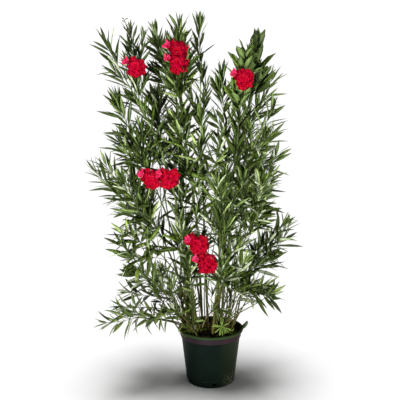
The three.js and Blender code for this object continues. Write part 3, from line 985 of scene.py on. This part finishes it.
print("places tried for tips in each mass:", TIP_TRIES)

# %% [markdown]
# ## Whorls along a shoot
# A whorl has three leaves, a third of a turn apart, and the next whorl is turned by a sixth. Near the tip
# the leaves are short, close and steep; lower down they are longer and stand out, and on weak low shoots
# they hang. A leaf whose tip would run out of the crown's own box is turned along the side of the box, so
# the looks stay the size of the CAD. We only note each leaf's numbers here; the shapes are made later, all
# together.


# %% Leaves along a shoot
def leaf_pile(leaves):
    """The shapes of all the leaves, from the numbers noted for each."""
    arrays = {key: np.array([leaf[key] for leaf in leaves]) for key in leaves[0]}
    pile = Pile()
    for one, tint in zip(leaf_points(arrays), arrays["tint"]):
        slot_of = {"blade": tint, "rib": RIB_SLOT, "under": under_slots[tint]}
        pile.put(one, LEAF_FACES, [slot_of[part] for part in LEAF_PARTS])
    return pile


OWN_TINT, LIGHT_TIP = 0.55, 0.4
TILT_SPREAD, LEAST_TILT = 9, 6
HANG, DROOP_BEND = 0.35, 30
OLDEST_FROM = 6
SIZE_BY_AGE = ([0, 0.35, 1], [0.66, 0.94, 1.0])
STEP_BY_AGE = ([0, 0.5, 1], [0.55, 0.95, 1.15])


def pick_tint(style, rng, among=tint_names):
    names = [n for n in style["tints"] if n in among]
    weights = np.array([style["tints"][n] for n in names], float)
    return tint_names.index(names[rng.choice(len(names), p=weights / weights.sum())])


crown_boxes = np.array([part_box(node) for node in masses])
CROWN_LOW, CROWN_HIGH = crown_boxes[:, 0].min(0), crown_boxes[:, 1].max(0)
CROWN_LOW[2] = 0
TIP_SLACK = 0.010


def kept_in(base, along, length):
    """A leaf's direction, turned along the side of the crown's own box where its tip would run out."""
    tip = base + along * length
    for k in (1, 0):
        kept = min(max(tip[k], CROWN_LOW[k] - TIP_SLACK), CROWN_HIGH[k] + TIP_SLACK)
        if kept != tip[k]:
            share = (kept - base[k]) / length
            rest = np.delete(along, k)
            along = np.insert(rest * math.sqrt(max(1 - share * share, 0.0)) / np.linalg.norm(rest), k, share)
    return unit(along)


def dress_shoot(leaves, line, style, rng, bare):
    """Whorls of three along a shoot, from its bare foot to its tip."""
    steps = np.linalg.norm(np.diff(line, axis=0), axis=1)
    walked = np.concatenate([[0], np.cumsum(steps)])
    total = walked[-1]
    tangents = unit(np.gradient(line, axis=0))
    spray = pick_tint(style, rng, style["spray"])
    turn = rng.uniform(0, 2 * np.pi)
    s = total
    whorl = 0
    while s >= 0 and (s > total * bare or whorl < 2):
        base = np.array([np.interp(s, walked, line[:, k]) for k in range(3)])
        axis = unit(np.array([np.interp(s, walked, tangents[:, k]) for k in range(3)]))
        u = across(axis)
        v = np.cross(axis, u)
        age = min(1.0, whorl / OLDEST_FROM)
        for i in range(3):
            a = turn + i * 2 * np.pi / 3 + rng.normal(0, 0.12)
            out = math.cos(a) * u + math.sin(a) * v
            angle = np.interp(age, [0, 1], style["angles"]) + rng.normal(0, TILT_SPREAD)
            tilt = math.radians(max(angle, LEAST_TILT))
            along = math.cos(tilt) * axis + math.sin(tilt) * out
            along = unit(along - vec(0, 0, HANG * style["droop"] * age))
            upper = math.cos(tilt) * -out + math.sin(tilt) * axis
            roll = rng.normal(0, 0.35 if style["broad"] else 0.6)
            upper = math.cos(roll) * upper + math.sin(roll) * np.cross(along, upper)
            size = np.interp(age, *SIZE_BY_AGE) * rng.uniform(0.84, 1.12)
            length, width = style["leaf"][0] * size, style["leaf"][1] * size * rng.uniform(0.88, 1.12)
            tint = spray
            if rng.random() < OWN_TINT:
                tint = pick_tint(style, rng)
            if whorl == 0 and rng.random() < LIGHT_TIP:
                tint = tint_names.index("light")
            along = kept_in(base, along, length)
            upper = unit(upper - (upper @ along) * along)
            leaf = {"base": base + out * 0.001, "along": along, "upper": upper}
            leaf |= {"length": length, "width": width, "broad": style["broad"], "tint": tint}
            leaf["bend"] = math.radians(rng.uniform(-4, 14) + DROOP_BEND * style["droop"] * age)
            leaf["twist"] = rng.normal(0, 0.22)
            leaf["fold"] = math.radians(rng.uniform(8, 24))
            leaves.append(leaf)
        turn += math.pi / 3
        whorl += 1
        s -= style["step"] * np.interp(age, *STEP_BY_AGE) * rng.uniform(0.8, 1.2)


ZONES = ("high", "left", "right", "low")
HIGH_FROM, LOW_UNDER, LEFT_UNDER = 1.2, 0.66, -0.05
SHOOT_TIP, BARE_FOOT = 0.0009, 0.22


def zone_of(node):
    low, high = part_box(node)
    x, _, z = (low + high) / 2
    if z > HIGH_FROM:
        return "high"
    if z < LOW_UNDER:
        return "low"
    return "left" if x < LEFT_UNDER else "right"


zone_leaves = {zone: [] for zone in ZONES}
zone_nodes = {zone: [n for n in masses if zone_of(n) == zone] for zone in ZONES}
shoots = Pile()
tips = {}
for index, node in enumerate(masses):
    mass = node.removeprefix("leaves_")
    rng = np.random.default_rng([SEED, 100 + index])
    style = style_of(mass)
    sleeve = mass in SLEEVE_LIMB
    limb = SLEEVE_LIMB[mass] if sleeve else next(n for n in limbs if n.split("_", 1)[1] == mass)
    grown = grow_mass(mass, limb, style, rng, sleeve)
    tips[mass] = [line[-1] for line, _ in grown]
    for number, (line, radius) in enumerate(grown):
        taper(shoots, line, radius, SHOOT_TIP)
        bare = BARE_FOOT if number else style["bare"]
        dress_shoot(zone_leaves[zone_of(node)], line, style, rng, bare)
print({zone: len(leaves) for zone, leaves in zone_leaves.items()}, "leaves")

# %% [markdown]
# ## Leaves on the limbs
# Below its mass a limb still holds some whorls, further apart and older than those above. They dress the
# upper part of each limb, and on a few limbs that stand in the light they go further down. They are counted
# with the leaves of the zone that the limb's mass is in.

# %% Dress the upper parts of the limbs
LEAFY_FROM = {"cane_top_middle_left": 0.62, "cane_spire": 0.55, "cane_top_left": 0.6}
LEAFY_FROM |= {"bough_top_middle": 0.0, "bough_slim": 0.25, "bough_right_star": 0.2}
LEAFY_SHARE = 0.72
rng = np.random.default_rng([SEED, 200])
for name in limbs:
    line, _, _ = lines[name]
    start = int(len(line) * LEAFY_FROM.get(name, LEAFY_SHARE))
    style = {**style_of(name.split("_", 1)[1]), "step": 0.038, "angles": (26, 48)}
    if style["broad"]:
        style = {**BASE_STYLE, "step": 0.034, "angles": (18, 34), "tints": {"deep": 4, "green": 4, "mid": 1}}
    zone = zone_of("leaves_" + name.split("_", 1)[1])
    dress_shoot(zone_leaves[zone], line[start:], style, rng, 0.0)
print(sum(len(leaves) for leaves in zone_leaves.values()), "leaves with those on the limbs")

# %% [markdown]
# ## Thin canes from the soil
# Round the thick canes stands a fan of thin young ones, green and no thicker than a pencil. They are too
# thin for the CAD. They start in the soil in two clumps, and each arches into a mass, with a few leaves
# near its tip. Shorter young shoots fill the foot of each clump, and one thin twig nods over the rim.

# %% Thin canes
THIN_GOALS = {"low_left": 4, "left_low": 2, "left_lower": 2, "left_lowest": 2, "middle_left": 3}
THIN_GOALS |= {"front_low": 3, "right_inner": 3, "right_low": 2, "right_tip": 2, "middle_right": 4}
THIN_GOALS |= {"front": 3, "centre_left": 3, "centre": 3, "left_inner": 2, "centre_left_high": 2}
THIN_GOALS |= {"right_middle_low": 2}
SOIL_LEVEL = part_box("soil")[1][2]
CLUMPS = ((-0.070, -0.030), (0.030, -0.020))
ROOTED = 0.006
THIN_FOOT, THIN_TIP, THIN_SIDES = (0.0026, 0.0042), 0.0012, 7
THIN_SPREAD, THIN_LIFT, CLUMP_SPLIT = 0.018, 0.1, -0.02
LOW_BARE, HIGH_BARE = 0.74, 0.88
YOUNG_SHOOTS, YOUNG_FOOT, YOUNG_SPREAD, YOUNG_BARE = 26, (0.0014, 0.0026), 0.024, 0.85
rng = np.random.default_rng([SEED, 300])
thin = Pile()


def foot_near(clump, spread, height):
    """A place for a stem's foot, at random near the middle of a clump."""
    return vec(*(np.array(clump) + rng.normal(0, spread, 2)), height)


for mass, count in THIN_GOALS.items():
    points, _ = mesh_arrays("leaves_" + mass)
    middle, spread = points.mean(0), points.max(0) - points.min(0)
    for _ in range(count):
        goal = middle + rng.uniform(-0.35, 0.35, 3) * spread
        clump = CLUMPS[0] if goal[0] < CLUMP_SPLIT else CLUMPS[1]
        foot = foot_near(clump, THIN_SPREAD, SOIL_LEVEL - ROOTED)
        line = shoot_line(foot, unit(vec(foot[0] * 2.2, foot[1] * 2.2, 0.3)), goal, THIN_LIFT)
        taper(thin, line, rng.uniform(*THIN_FOOT), THIN_TIP, THIN_SIDES)
        bare = LOW_BARE if goal[2] < 0.7 and goal[0] < 0.05 else HIGH_BARE
        dress_shoot(zone_leaves["low"], line, {**style_of(mass), "step": 0.034}, rng, bare)
for _ in range(YOUNG_SHOOTS):
    foot = foot_near(CLUMPS[rng.integers(2)], YOUNG_SPREAD, SOIL_LEVEL - ROOTED)
    lean = foot[0] * 1.1 + rng.normal(0, 0.06)
    goal = foot + vec(lean, rng.uniform(-0.08, 0.06), rng.uniform(0.12, 0.30))
    line = shoot_line(foot, unit(vec(foot[0], foot[1], 0.2)), goal, THIN_LIFT)
    taper(thin, line, rng.uniform(*YOUNG_FOOT), SHOOT_TIP)
    dress_shoot(zone_leaves["low"], line, {**style_of("low_left"), "step": 0.03}, rng, YOUNG_BARE)
nod = ((0.07, -0.04, SOIL_LEVEL), (0.10, -0.05, 0.30), (0.15, -0.05, 0.40), (0.168, -0.05, 0.368))
taper(thin, bezier(*(vec(*p) for p in nod), 16), 0.0016, 0.0008)
thin.piece("thin_canes", [shoot_skin], "bark")

# %% Make the leaf and shoot pieces
for zone, leaves in zone_leaves.items():
    made = leaf_pile(leaves).piece("foliage_" + zone, leaf_materials, "leaves")
    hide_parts(*zone_nodes[zone])
shoots.piece("shoots", [shoot_skin], "bark")
print(sum(len(leaves) for leaves in zone_leaves.values()), "leaves in all")

# %% [markdown]
# ## Flowers
# The blooms are double: two layers of broad petals lie nearly flat, and a third stands up in the middle.
# They are packed in domed heads, with rosy buds beside them. A petal is a small grid, narrow at its foot
# and broad at its lip, that curls out and waves along its edge. It gets a back, so it is a closed skin.

# %% Petals and blooms
PETAL_ROWS, PETAL_COLS = 5, 5
PETAL_THICK, LAYER_RISE = 0.4 * MM, 1.6 * MM
LAYERS = ((5, 1.0, 84), (5, 0.72, 64), (3, 0.40, 34))
FOOT_WIDTH, SWELL, LIP_WIDTH = 0.25, 0.95, 0.86
RUFFLE, CUP, DROP = 0.05, 0.08, 0.12
BUD_SHARES = np.array([0, 0.12, 0.35, 0.6, 0.85, 1.0])
BUD_SWELL = np.array([0.45, 0.8, 1.0, 0.85, 0.45, 0.08])


def petal(pile, base, face, out, length, width, tilt, rng, slot):
    """One ruffled petal: face is the way the bloom looks, out the way this petal leans from it."""
    side = np.cross(face, out)
    phase, wave = rng.uniform(0, 2 * np.pi), rng.uniform(2.2, 3.4)
    front = []
    position = base.copy()
    for k in range(PETAL_ROWS):
        t = k / (PETAL_ROWS - 1)
        angle = math.radians(tilt * (0.8 + 0.28 * t))
        run = math.cos(angle) * face + math.sin(angle) * out
        normal = math.cos(angle) * out - math.sin(angle) * face
        if k:
            position = position + run * length / (PETAL_ROWS - 1)
        half = width / 2 * (FOOT_WIDTH + SWELL * math.sin(min(t * 1.9, 1.57)) ** 1.2)
        half *= LIP_WIDTH if k == PETAL_ROWS - 1 else 1
        for j in range(PETAL_COLS):
            v = 2 * j / (PETAL_COLS - 1) - 1
            ruffle = RUFFLE * length * t**1.5 * math.sin(wave * v * 2 + phase)
            cup = CUP * width * v * v
            drop = -DROP * length * v * v * t
            front.append(position + side * half * v - normal * (ruffle + cup) + run * drop)
    front = np.array(front)
    back = front + PETAL_THICK * unit(np.cross(side, face) + 1e-6)
    n, c, last = len(front), PETAL_COLS, (PETAL_ROWS - 1) * PETAL_COLS
    corners = [k * c + j for k in range(PETAL_ROWS - 1) for j in range(c - 1)]
    cells = [(a, a + 1, a + c + 1, a + c) for a in corners]
    edge = list(range(c)) + [k * c + c - 1 for k in range(1, PETAL_ROWS)]
    edge += [last + j for j in range(c - 2, -1, -1)] + [k * c for k in range(PETAL_ROWS - 2, 0, -1)]
    faces = cells + [tuple(n + i for i in reversed(cell)) for cell in cells]
    faces += [(b, a, n + a, n + b) for a, b in zip(edge, edge[1:] + edge[:1])]
    pile.put(np.concatenate([front, back]), faces, slot)


def bloom(pile, centre, face, size, rng, opened=1.0, slot=0):
    u = across(face)
    v = np.cross(face, u)
    for number, (count, reach, tilt) in enumerate(LAYERS):
        start = rng.uniform(0, 2 * np.pi)
        for i in range(count):
            a = start + 2 * np.pi * i / count + rng.normal(0, 0.12)
            out = math.cos(a) * u + math.sin(a) * v
            length = size / 2 * reach * rng.uniform(0.9, 1.08)
            foot = centre + face * LAYER_RISE * number
            petal(pile, foot, face, out, length, length * 1.5, tilt * opened, rng, slot)


def bud(pile, base, way, length, radius, slot):
    tube(pile, base + np.outer(BUD_SHARES * length, way), BUD_SWELL * radius, 7, slot)


print("blooms have", sum(layer[0] for layer in LAYERS), "petals")


# %% Petal materials
# Petals are thin wet tissue under a velvet of tiny cells. The eye gets a deep red with hardly any gloss,
# and a warm glow where light passes through an edge. The cells are drawn as coarse as the wax of the leaves.
def petal_skin(name, dark, light, roughness):
    made = leaf_skin(name, dark, light, roughness, 0.3)
    shader = made.node_tree.nodes["Principled BSDF"]
    shader.inputs["Specular IOR Level"].default_value = 0.03
    shader.inputs["Subsurface Weight"].default_value = 0.3
    shader.inputs["Subsurface Scale"].default_value = 0.006
    return made


crimson = petal_skin("velvet petal, crimson", "#72000e", "#82011a", 0.6)
rose = petal_skin("young petal, rose", "#8e0c30", "#a82a4e", 0.5)
calyx_green = leaf_skin("calyx", "#6d7c3a", "#8a9650", 0.5, 0.2)
print(crimson.name)

# %% [markdown]
# ## Flower heads
# Each head sits at a share of the width, depth and height of its mass's box, on a stalk from the nearest
# shoot tip. Five blooms look forward and a little apart, the middle one foremost. Buds and a half-open
# rosy bloom stand at the upper left. One flower stalk high on the left is spent: its petals have dropped,
# and only its forks and dry tips are left.

# %% Place the flower heads
flowers, stalks, spent = Pile(), Pile(), Pile()
dry_stalk = leaf_skin("dry flower stalk", "#3f4428", "#5c6040", 0.7, 0.4)
rng = np.random.default_rng([SEED, 500])
FORWARD = unit(vec(0, -1, 0.25))
BLOOM_SPOTS = ((0.018, 0.010), (-0.014, 0.013), (0.0, 0.0), (-0.004, -0.016), (0.016, -0.012))
BUD_SPOTS = ((-0.040, 0.028), (-0.046, 0.016), (-0.032, 0.036))
MIDDLE_FOREMOST = 0.010
BLOOM_WIDTH, BUD_LENGTH, BUD_RADIUS = (0.048, 0.054), (0.016, 0.021), (0.0042, 0.0056)


def flower_head(centre, near):
    """A head of blooms that look to the front, its stalk from a near point of a shoot."""
    for x, z in BLOOM_SPOTS:
        before = 0 if x else MIDDLE_FOREMOST
        if x:
            x, z = x + rng.normal(0, 0.003), z + rng.normal(0, 0.003)
        where = centre + vec(x, rng.uniform(-0.004, 0.002) - before, z)
        look = unit(FORWARD + vec(x * 18, 0, z * 14))
        bloom(flowers, where, look, rng.uniform(*BLOOM_WIDTH), rng)
    for x, z in BUD_SPOTS:
        base = centre + vec(x, -0.004, z - 0.008) + rng.normal(0, 0.002, 3)
        way = unit(vec(-0.5, -0.35, 0.9) + rng.normal(0, 0.2, 3))
        bud(flowers, base, way, rng.uniform(*BUD_LENGTH), rng.uniform(*BUD_RADIUS), 1)
        bud(stalks, base - way * 0.004, way, 0.007, 0.0032, 0)
        foot, rise = centre + vec(0, 0.024, -0.01), centre + vec(0, 0.018, 0)
        taper(stalks, bezier(foot, rise, base - way * 0.02, base, 6), 0.0011, 0.0011, 5)
    look = unit(FORWARD + vec(-0.5, 0, 0.35))
    bloom(flowers, centre + vec(-0.035, -0.006, 0.016), look, 0.032, rng, 0.6, 1)
    hub = centre + vec(0, 0.020, -0.008)
    rise = near + (hub - near) * 0.3 + vec(0, 0, 0.02)
    taper(stalks, bezier(near, rise, hub - vec(0, 0, 0.03), hub, 8), 0.002, 0.0015)


HEAD_PLACES = (
    ("top_left", (0.79, 0.14, 0.50)),
    ("top_middle", (0.50, 0.00, 0.59)),
    ("top_middle", (0.50, -0.03, 0.44)),
    ("broad_left", (0.58, -0.15, 0.476)),
    ("left_upper", (0.90, 0.10, -0.12)),
    ("left_upper", (1.24, 0.10, -0.12)),
    ("middle_left", (0.70, -0.15, 0.53)),
    ("middle_left", (0.87, -0.15, 0.30)),
)
SPENT_LINE = ((0.24, 0.45, 0.55), (0.24, 0.45, 0.78), (0.10, 0.45, 0.925))
SPENT_FORKS = ((6, 0.012), (7, -0.011), (9, 0.010), (10, -0.009), (11, 0.008), (11, -0.008))
ends = np.concatenate([np.array(t) for t in tips.values()])
for mass, shares in HEAD_PLACES:
    low, high = (np.array(c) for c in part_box("leaves_" + mass))
    centre = low + np.array(shares) * (high - low)
    near = ends[np.argmin(np.linalg.norm(ends - centre - vec(0, 0.05, -0.05), axis=1))]
    flower_head(centre, near)
    print(mass, [round(float(c), 3) for c in centre])
low, high = (np.array(c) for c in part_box("leaves_pale_sprig"))
foot, knee, top = (low + np.array(share) * (high - low) for share in SPENT_LINE)
stem = bezier(foot, knee - (knee - foot) * 0.3, knee, top, 12)
taper(spent, stem, 0.0021, 0.0013)
for k, reach in SPENT_FORKS:
    fork = stem[k] + vec(reach, rng.normal(0, 0.004), abs(reach) * 0.9)
    taper(spent, bezier(stem[k], stem[k] + vec(0, 0, 0.004), fork, fork, 4), 0.0014, 0.0014, 5)
    for _ in range(2):
        way = unit(fork - stem[k] + rng.normal(0, 0.008, 3))
        bud(spent, fork, way, rng.uniform(0.006, 0.010), 0.0021, 0)
spent.piece("spent_flower_stalks", [dry_stalk], "bark")
flowers.piece("petals", [crimson, rose], "petals")
stalks.piece("flower_stalks", [calyx_green], "leaves")

# %% [markdown]
# ## Soil
# Damp potting soil is nearly black, crumbly and uneven, with straw, a dead leaf and small weeds on it. The
# surface is a disc of rings that we lift and drop with slow noise, higher in the middle than at the wall.
# Geometry Nodes scatter crumbs over it.


# %% Soil surface
# Damp compost gives the eye a nearly black, matt ground with brown crumbs where it has dried. Its clods are
# about 8 mm wide.
def earth(name, dark, light):
    made, tree, shader, where = new_material(name, {"Roughness": 0.95})
    clods = {"Vector": where, "Scale": grains(7.6923), "Detail": 6.0, "Roughness": 0.7}
    clods = add(tree, "ShaderNodeTexNoise", clods).outputs["Fac"]
    tone = stops(add(tree, "ShaderNodeValToRGB", {"Fac": clods}), (0.35, dark), (0.75, light))
    coat(tree, shader, tone.outputs["Color"], clods, 0.9, 3)
    return made


damp_soil = earth("damp potting soil", "#0f0b07", "#3a2a1b")
soil_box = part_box("soil")
SOIL_RADIUS = float(soil_box[1][0]) + 0.0004
SOIL_RINGS, SOIL_SIDES, SOIL_FOOT = 30, 96, 0.18
SAG, LUMP_HEIGHT = 0.006, 0.0016
rng = np.random.default_rng([SEED, 700])
wave = rng.uniform(0, 2 * np.pi, 8)


def soil_height(x, y):
    r = math.hypot(x, y) / SOIL_RADIUS
    lumps = math.sin(61 * x + wave[0]) * math.sin(53 * y + wave[1])
    lumps += 0.7 * math.sin(120 * x - 90 * y + wave[2])
    fine = 0.5 * math.sin(260 * x + wave[3]) * math.sin(240 * y + wave[4])
    return float(soil_box[1][2]) - 0.001 - SAG * r**4 + LUMP_HEIGHT * (lumps + fine)


def soil_mesh():
    rings, sides = SOIL_RINGS, SOIL_SIDES
    points = [(0, 0, soil_height(0, 0))]
    for k in range(1, rings + 1):
        for i in range(sides):
            a, r = 2 * math.pi * i / sides, SOIL_RADIUS * k / rings
            x, y = r * math.cos(a), r * math.sin(a)
            points.append((x, y, soil_height(x, y)))
    faces = [(0, 1 + i, 1 + (i + 1) % sides) for i in range(sides)]
    for k in range(rings - 1):
        a, b = 1 + k * sides, 1 + (k + 1) * sides
        faces += [(a + i, b + i, b + (i + 1) % sides, a + (i + 1) % sides) for i in range(sides)]
    last = 1 + (rings - 1) * sides
    base = len(points)
    points += [(0.95 * points[last + i][0], 0.95 * points[last + i][1], SOIL_FOOT) for i in range(sides)]
    faces += [(last + i, base + i, base + (i + 1) % sides, last + (i + 1) % sides) for i in range(sides)]
    faces.append(tuple(base + i for i in reversed(range(sides))))
    pile = Pile()
    pile.put(points, faces, 0)
    return pile


soil = soil_mesh().piece("soil_surface", [damp_soil], "soil")
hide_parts("soil")


# %% Crumbs by Geometry Nodes
def crumb_tree():
    kinds = {"Ground": "Geometry", "Density": "Float", "Smallest": "Float", "Largest": "Float"}
    tree, given = new_tree("crumbs", **kinds, Seed="Int", Finish="Material")
    normal = add(tree, "GeometryNodeInputNormal").outputs["Normal"]
    facing = add(tree, "ShaderNodeSeparateXYZ", {"Vector": normal}).outputs["Z"]
    upward = add(tree, "FunctionNodeCompare", {"A": facing, "B": 0.5}, operation="GREATER_THAN")
    scatter = {"Mesh": given["Ground"], "Selection": upward.outputs["Result"]}
    scatter |= {"Density": given["Density"], "Seed": given["Seed"]}
    spots = add(tree, "GeometryNodeDistributePointsOnFaces", scatter)
    clod = add(tree, "GeometryNodeMeshIcoSphere", {"Radius": 1.0, "Subdivisions": 1})
    sizes = {2: given["Smallest"], 3: given["Largest"], "Seed": 3}
    size = add(tree, "FunctionNodeRandomValue", sizes, data_type="FLOAT")
    flat = add(tree, "ShaderNodeCombineXYZ", {"X": 1.0, "Y": 0.8, "Z": 0.6})
    grown = {0: flat.outputs["Vector"], "Scale": size.outputs[1]}
    grown = add(tree, "ShaderNodeVectorMath", grown, operation="SCALE")
    turns = {1: (6.28, 6.28, 6.28), "Seed": 5}
    spin = add(tree, "FunctionNodeRandomValue", turns, data_type="FLOAT_VECTOR")
    set_down = {"Points": spots.outputs["Points"], "Instance": clod.outputs["Mesh"]}
    set_down |= {"Rotation": spin.outputs[0], "Scale": grown.outputs["Vector"]}
    laid = add(tree, "GeometryNodeInstanceOnPoints", set_down)
    return end_tree(tree, laid.outputs["Instances"], given["Finish"])


clod_soil = earth("dry crumbs of soil", "#1c140d", "#54402a")
sizes = {"Smallest": 0.8 * MM, "Largest": 3 * MM}
crumbs = run_tree(soil.data.copy(), crumb_tree(), Density=26000.0, **sizes, Seed=11, Finish=clod_soil)
place("soil_crumbs", crumbs, [clod_soil], "soil")

# %% [markdown]
# ## Litter and weeds
# Straw-coloured bits of old stem lie across the soil or lean among the canes, with one dead leaf at the
# right. A bright green weed spreads its arms like a star in front of the canes, and smaller ones stand by
# the wall. They use the same tube and leaf shapes as the plant.

# %% Straw, dead leaf and weeds
straw = leaf_skin("dry straw", "#7d6d42", "#a8996a", 0.7, 0.3)
dead = leaf_skin("dead leaf, rust", "#6a4420", "#a08248", 0.65, 0.3)
weed = leaf_skin("soft weed leaf", "#4b6420", "#6f8439", 0.5, 0.3)
litter = Pile()
LYING_STRAWS, DRY_STALKS = 70, 16
LITTER_REACH, WALL = 0.118, 0.12
STRAW_THICK, STALK_THICK = (0.0007, 0.0014), (0.0008, 0.0014)
rng = np.random.default_rng([SEED, 900])
for _ in range(LYING_STRAWS):
    a, r = rng.uniform(0, 2 * np.pi), LITTER_REACH * math.sqrt(rng.uniform(0.05, 1))
    x, y = r * math.cos(a), r * math.sin(a)
    way = unit(vec(rng.normal(), rng.normal(), rng.uniform(0, 0.35)))
    length = rng.uniform(0.02, 0.055)
    start = vec(x, y, soil_height(x, y) + 0.002)
    end = start + way * length
    if math.hypot(end[0], end[1]) > WALL:
        end = start - way * length * vec(1, 1, -1)
    knee = start + (end - start) * 0.3 + [0, 0, 0.002]
    line = bezier(start, knee, start + (end - start) * 0.7, end, 6)
    thick = rng.uniform(*STRAW_THICK)
    taper(litter, line, thick, thick, 5)
for _ in range(DRY_STALKS):
    foot = foot_near(CLUMPS[rng.integers(2)], 0.02, SOIL_LEVEL)
    lean = foot[0] * 0.4 + rng.normal(0, 0.05)
    tip = foot + vec(lean, rng.uniform(-0.05, 0.01), rng.uniform(0.05, 0.15))
    thick = rng.uniform(*STALK_THICK)
    taper(litter, bezier(foot, foot + [0, 0, 0.03], tip - [0, 0, 0.01], tip, 8), thick, thick, 5)
litter.piece("straw_litter", [straw], "bark")


def fan_of_leaves(centre, count, length, width, rise, look, start=0.0):
    """Leaves that spread from one point like a star that looks one way."""
    made = []
    look = unit(vec(*look))
    right = unit(np.cross([0, 1, 0], look))
    for i in range(count):
        a = start + 2 * np.pi * i / count + rng.normal(0, 0.15)
        tilt = math.radians(rise + rng.normal(0, 8))
        out = right * math.cos(a) + np.cross(look, right) * math.sin(a)
        leaf = {"base": np.array(centre), "along": unit(out * math.cos(tilt) + look * math.sin(tilt))}
        leaf["upper"] = unit(look * math.cos(tilt) - out * math.sin(tilt))
        leaf |= {"length": length * rng.uniform(0.8, 1.15), "width": width, "bend": math.radians(40)}
        made.append({**leaf, "twist": rng.normal(0, 0.3), "fold": 0.2, "broad": True, "tint": 0})
    return made


STAR = (0.046, -0.098, SOIL_LEVEL + 0.052)
SMALL_WEEDS = (
    (STAR, 4, 0.056, -30, (0.1, -0.4, 1)),
    ((0.066, -0.085, SOIL_LEVEL + 0.02), 6, 0.042, 30, (0, -0.3, 1)),
    ((0.092, -0.060, SOIL_LEVEL + 0.006), 5, 0.034, 40, (0, -0.2, 1)),
    ((-0.106, -0.040, SOIL_LEVEL + 0.006), 5, 0.034, 50, (0, -0.2, 1)),
    ((-0.100, -0.065, SOIL_LEVEL + 0.006), 5, 0.028, 50, (0, -0.2, 1)),
)
DEAD_LEAF_PLACE = (0.072, -0.050, SOIL_LEVEL + 0.008)


def one_material(pile):
    pile.slots = [0] * len(pile.slots)
    return pile


small = fan_of_leaves(STAR, 9, 0.046, 0.0065, 10, (0.1, -0.8, 0.6))
for spot, count, length, rise, look in SMALL_WEEDS:
    small += fan_of_leaves(spot, count, length, 0.0095, rise, look)
one_material(leaf_pile(small)).piece("weeds", [weed], "leaves")
fallen = fan_of_leaves(DEAD_LEAF_PLACE, 2, 0.046, 0.018, 26, (0, -0.5, 1), start=0.1)
one_material(leaf_pile(fallen)).piece("dead_leaf", [dead], "leaves")

# %% [markdown]
# ## Sizes and finish
# The looks must not change the object's size, so the box of the imported model and the box of what shows
# are written side by side.

# %% Write the boxes and finish
seen_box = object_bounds()
for side, seen, cad in zip(("low", "high"), seen_box, cad_box):
    print("box's", side, "corner moved by", [round(a - b, 4) for a, b in zip(seen, cad)])
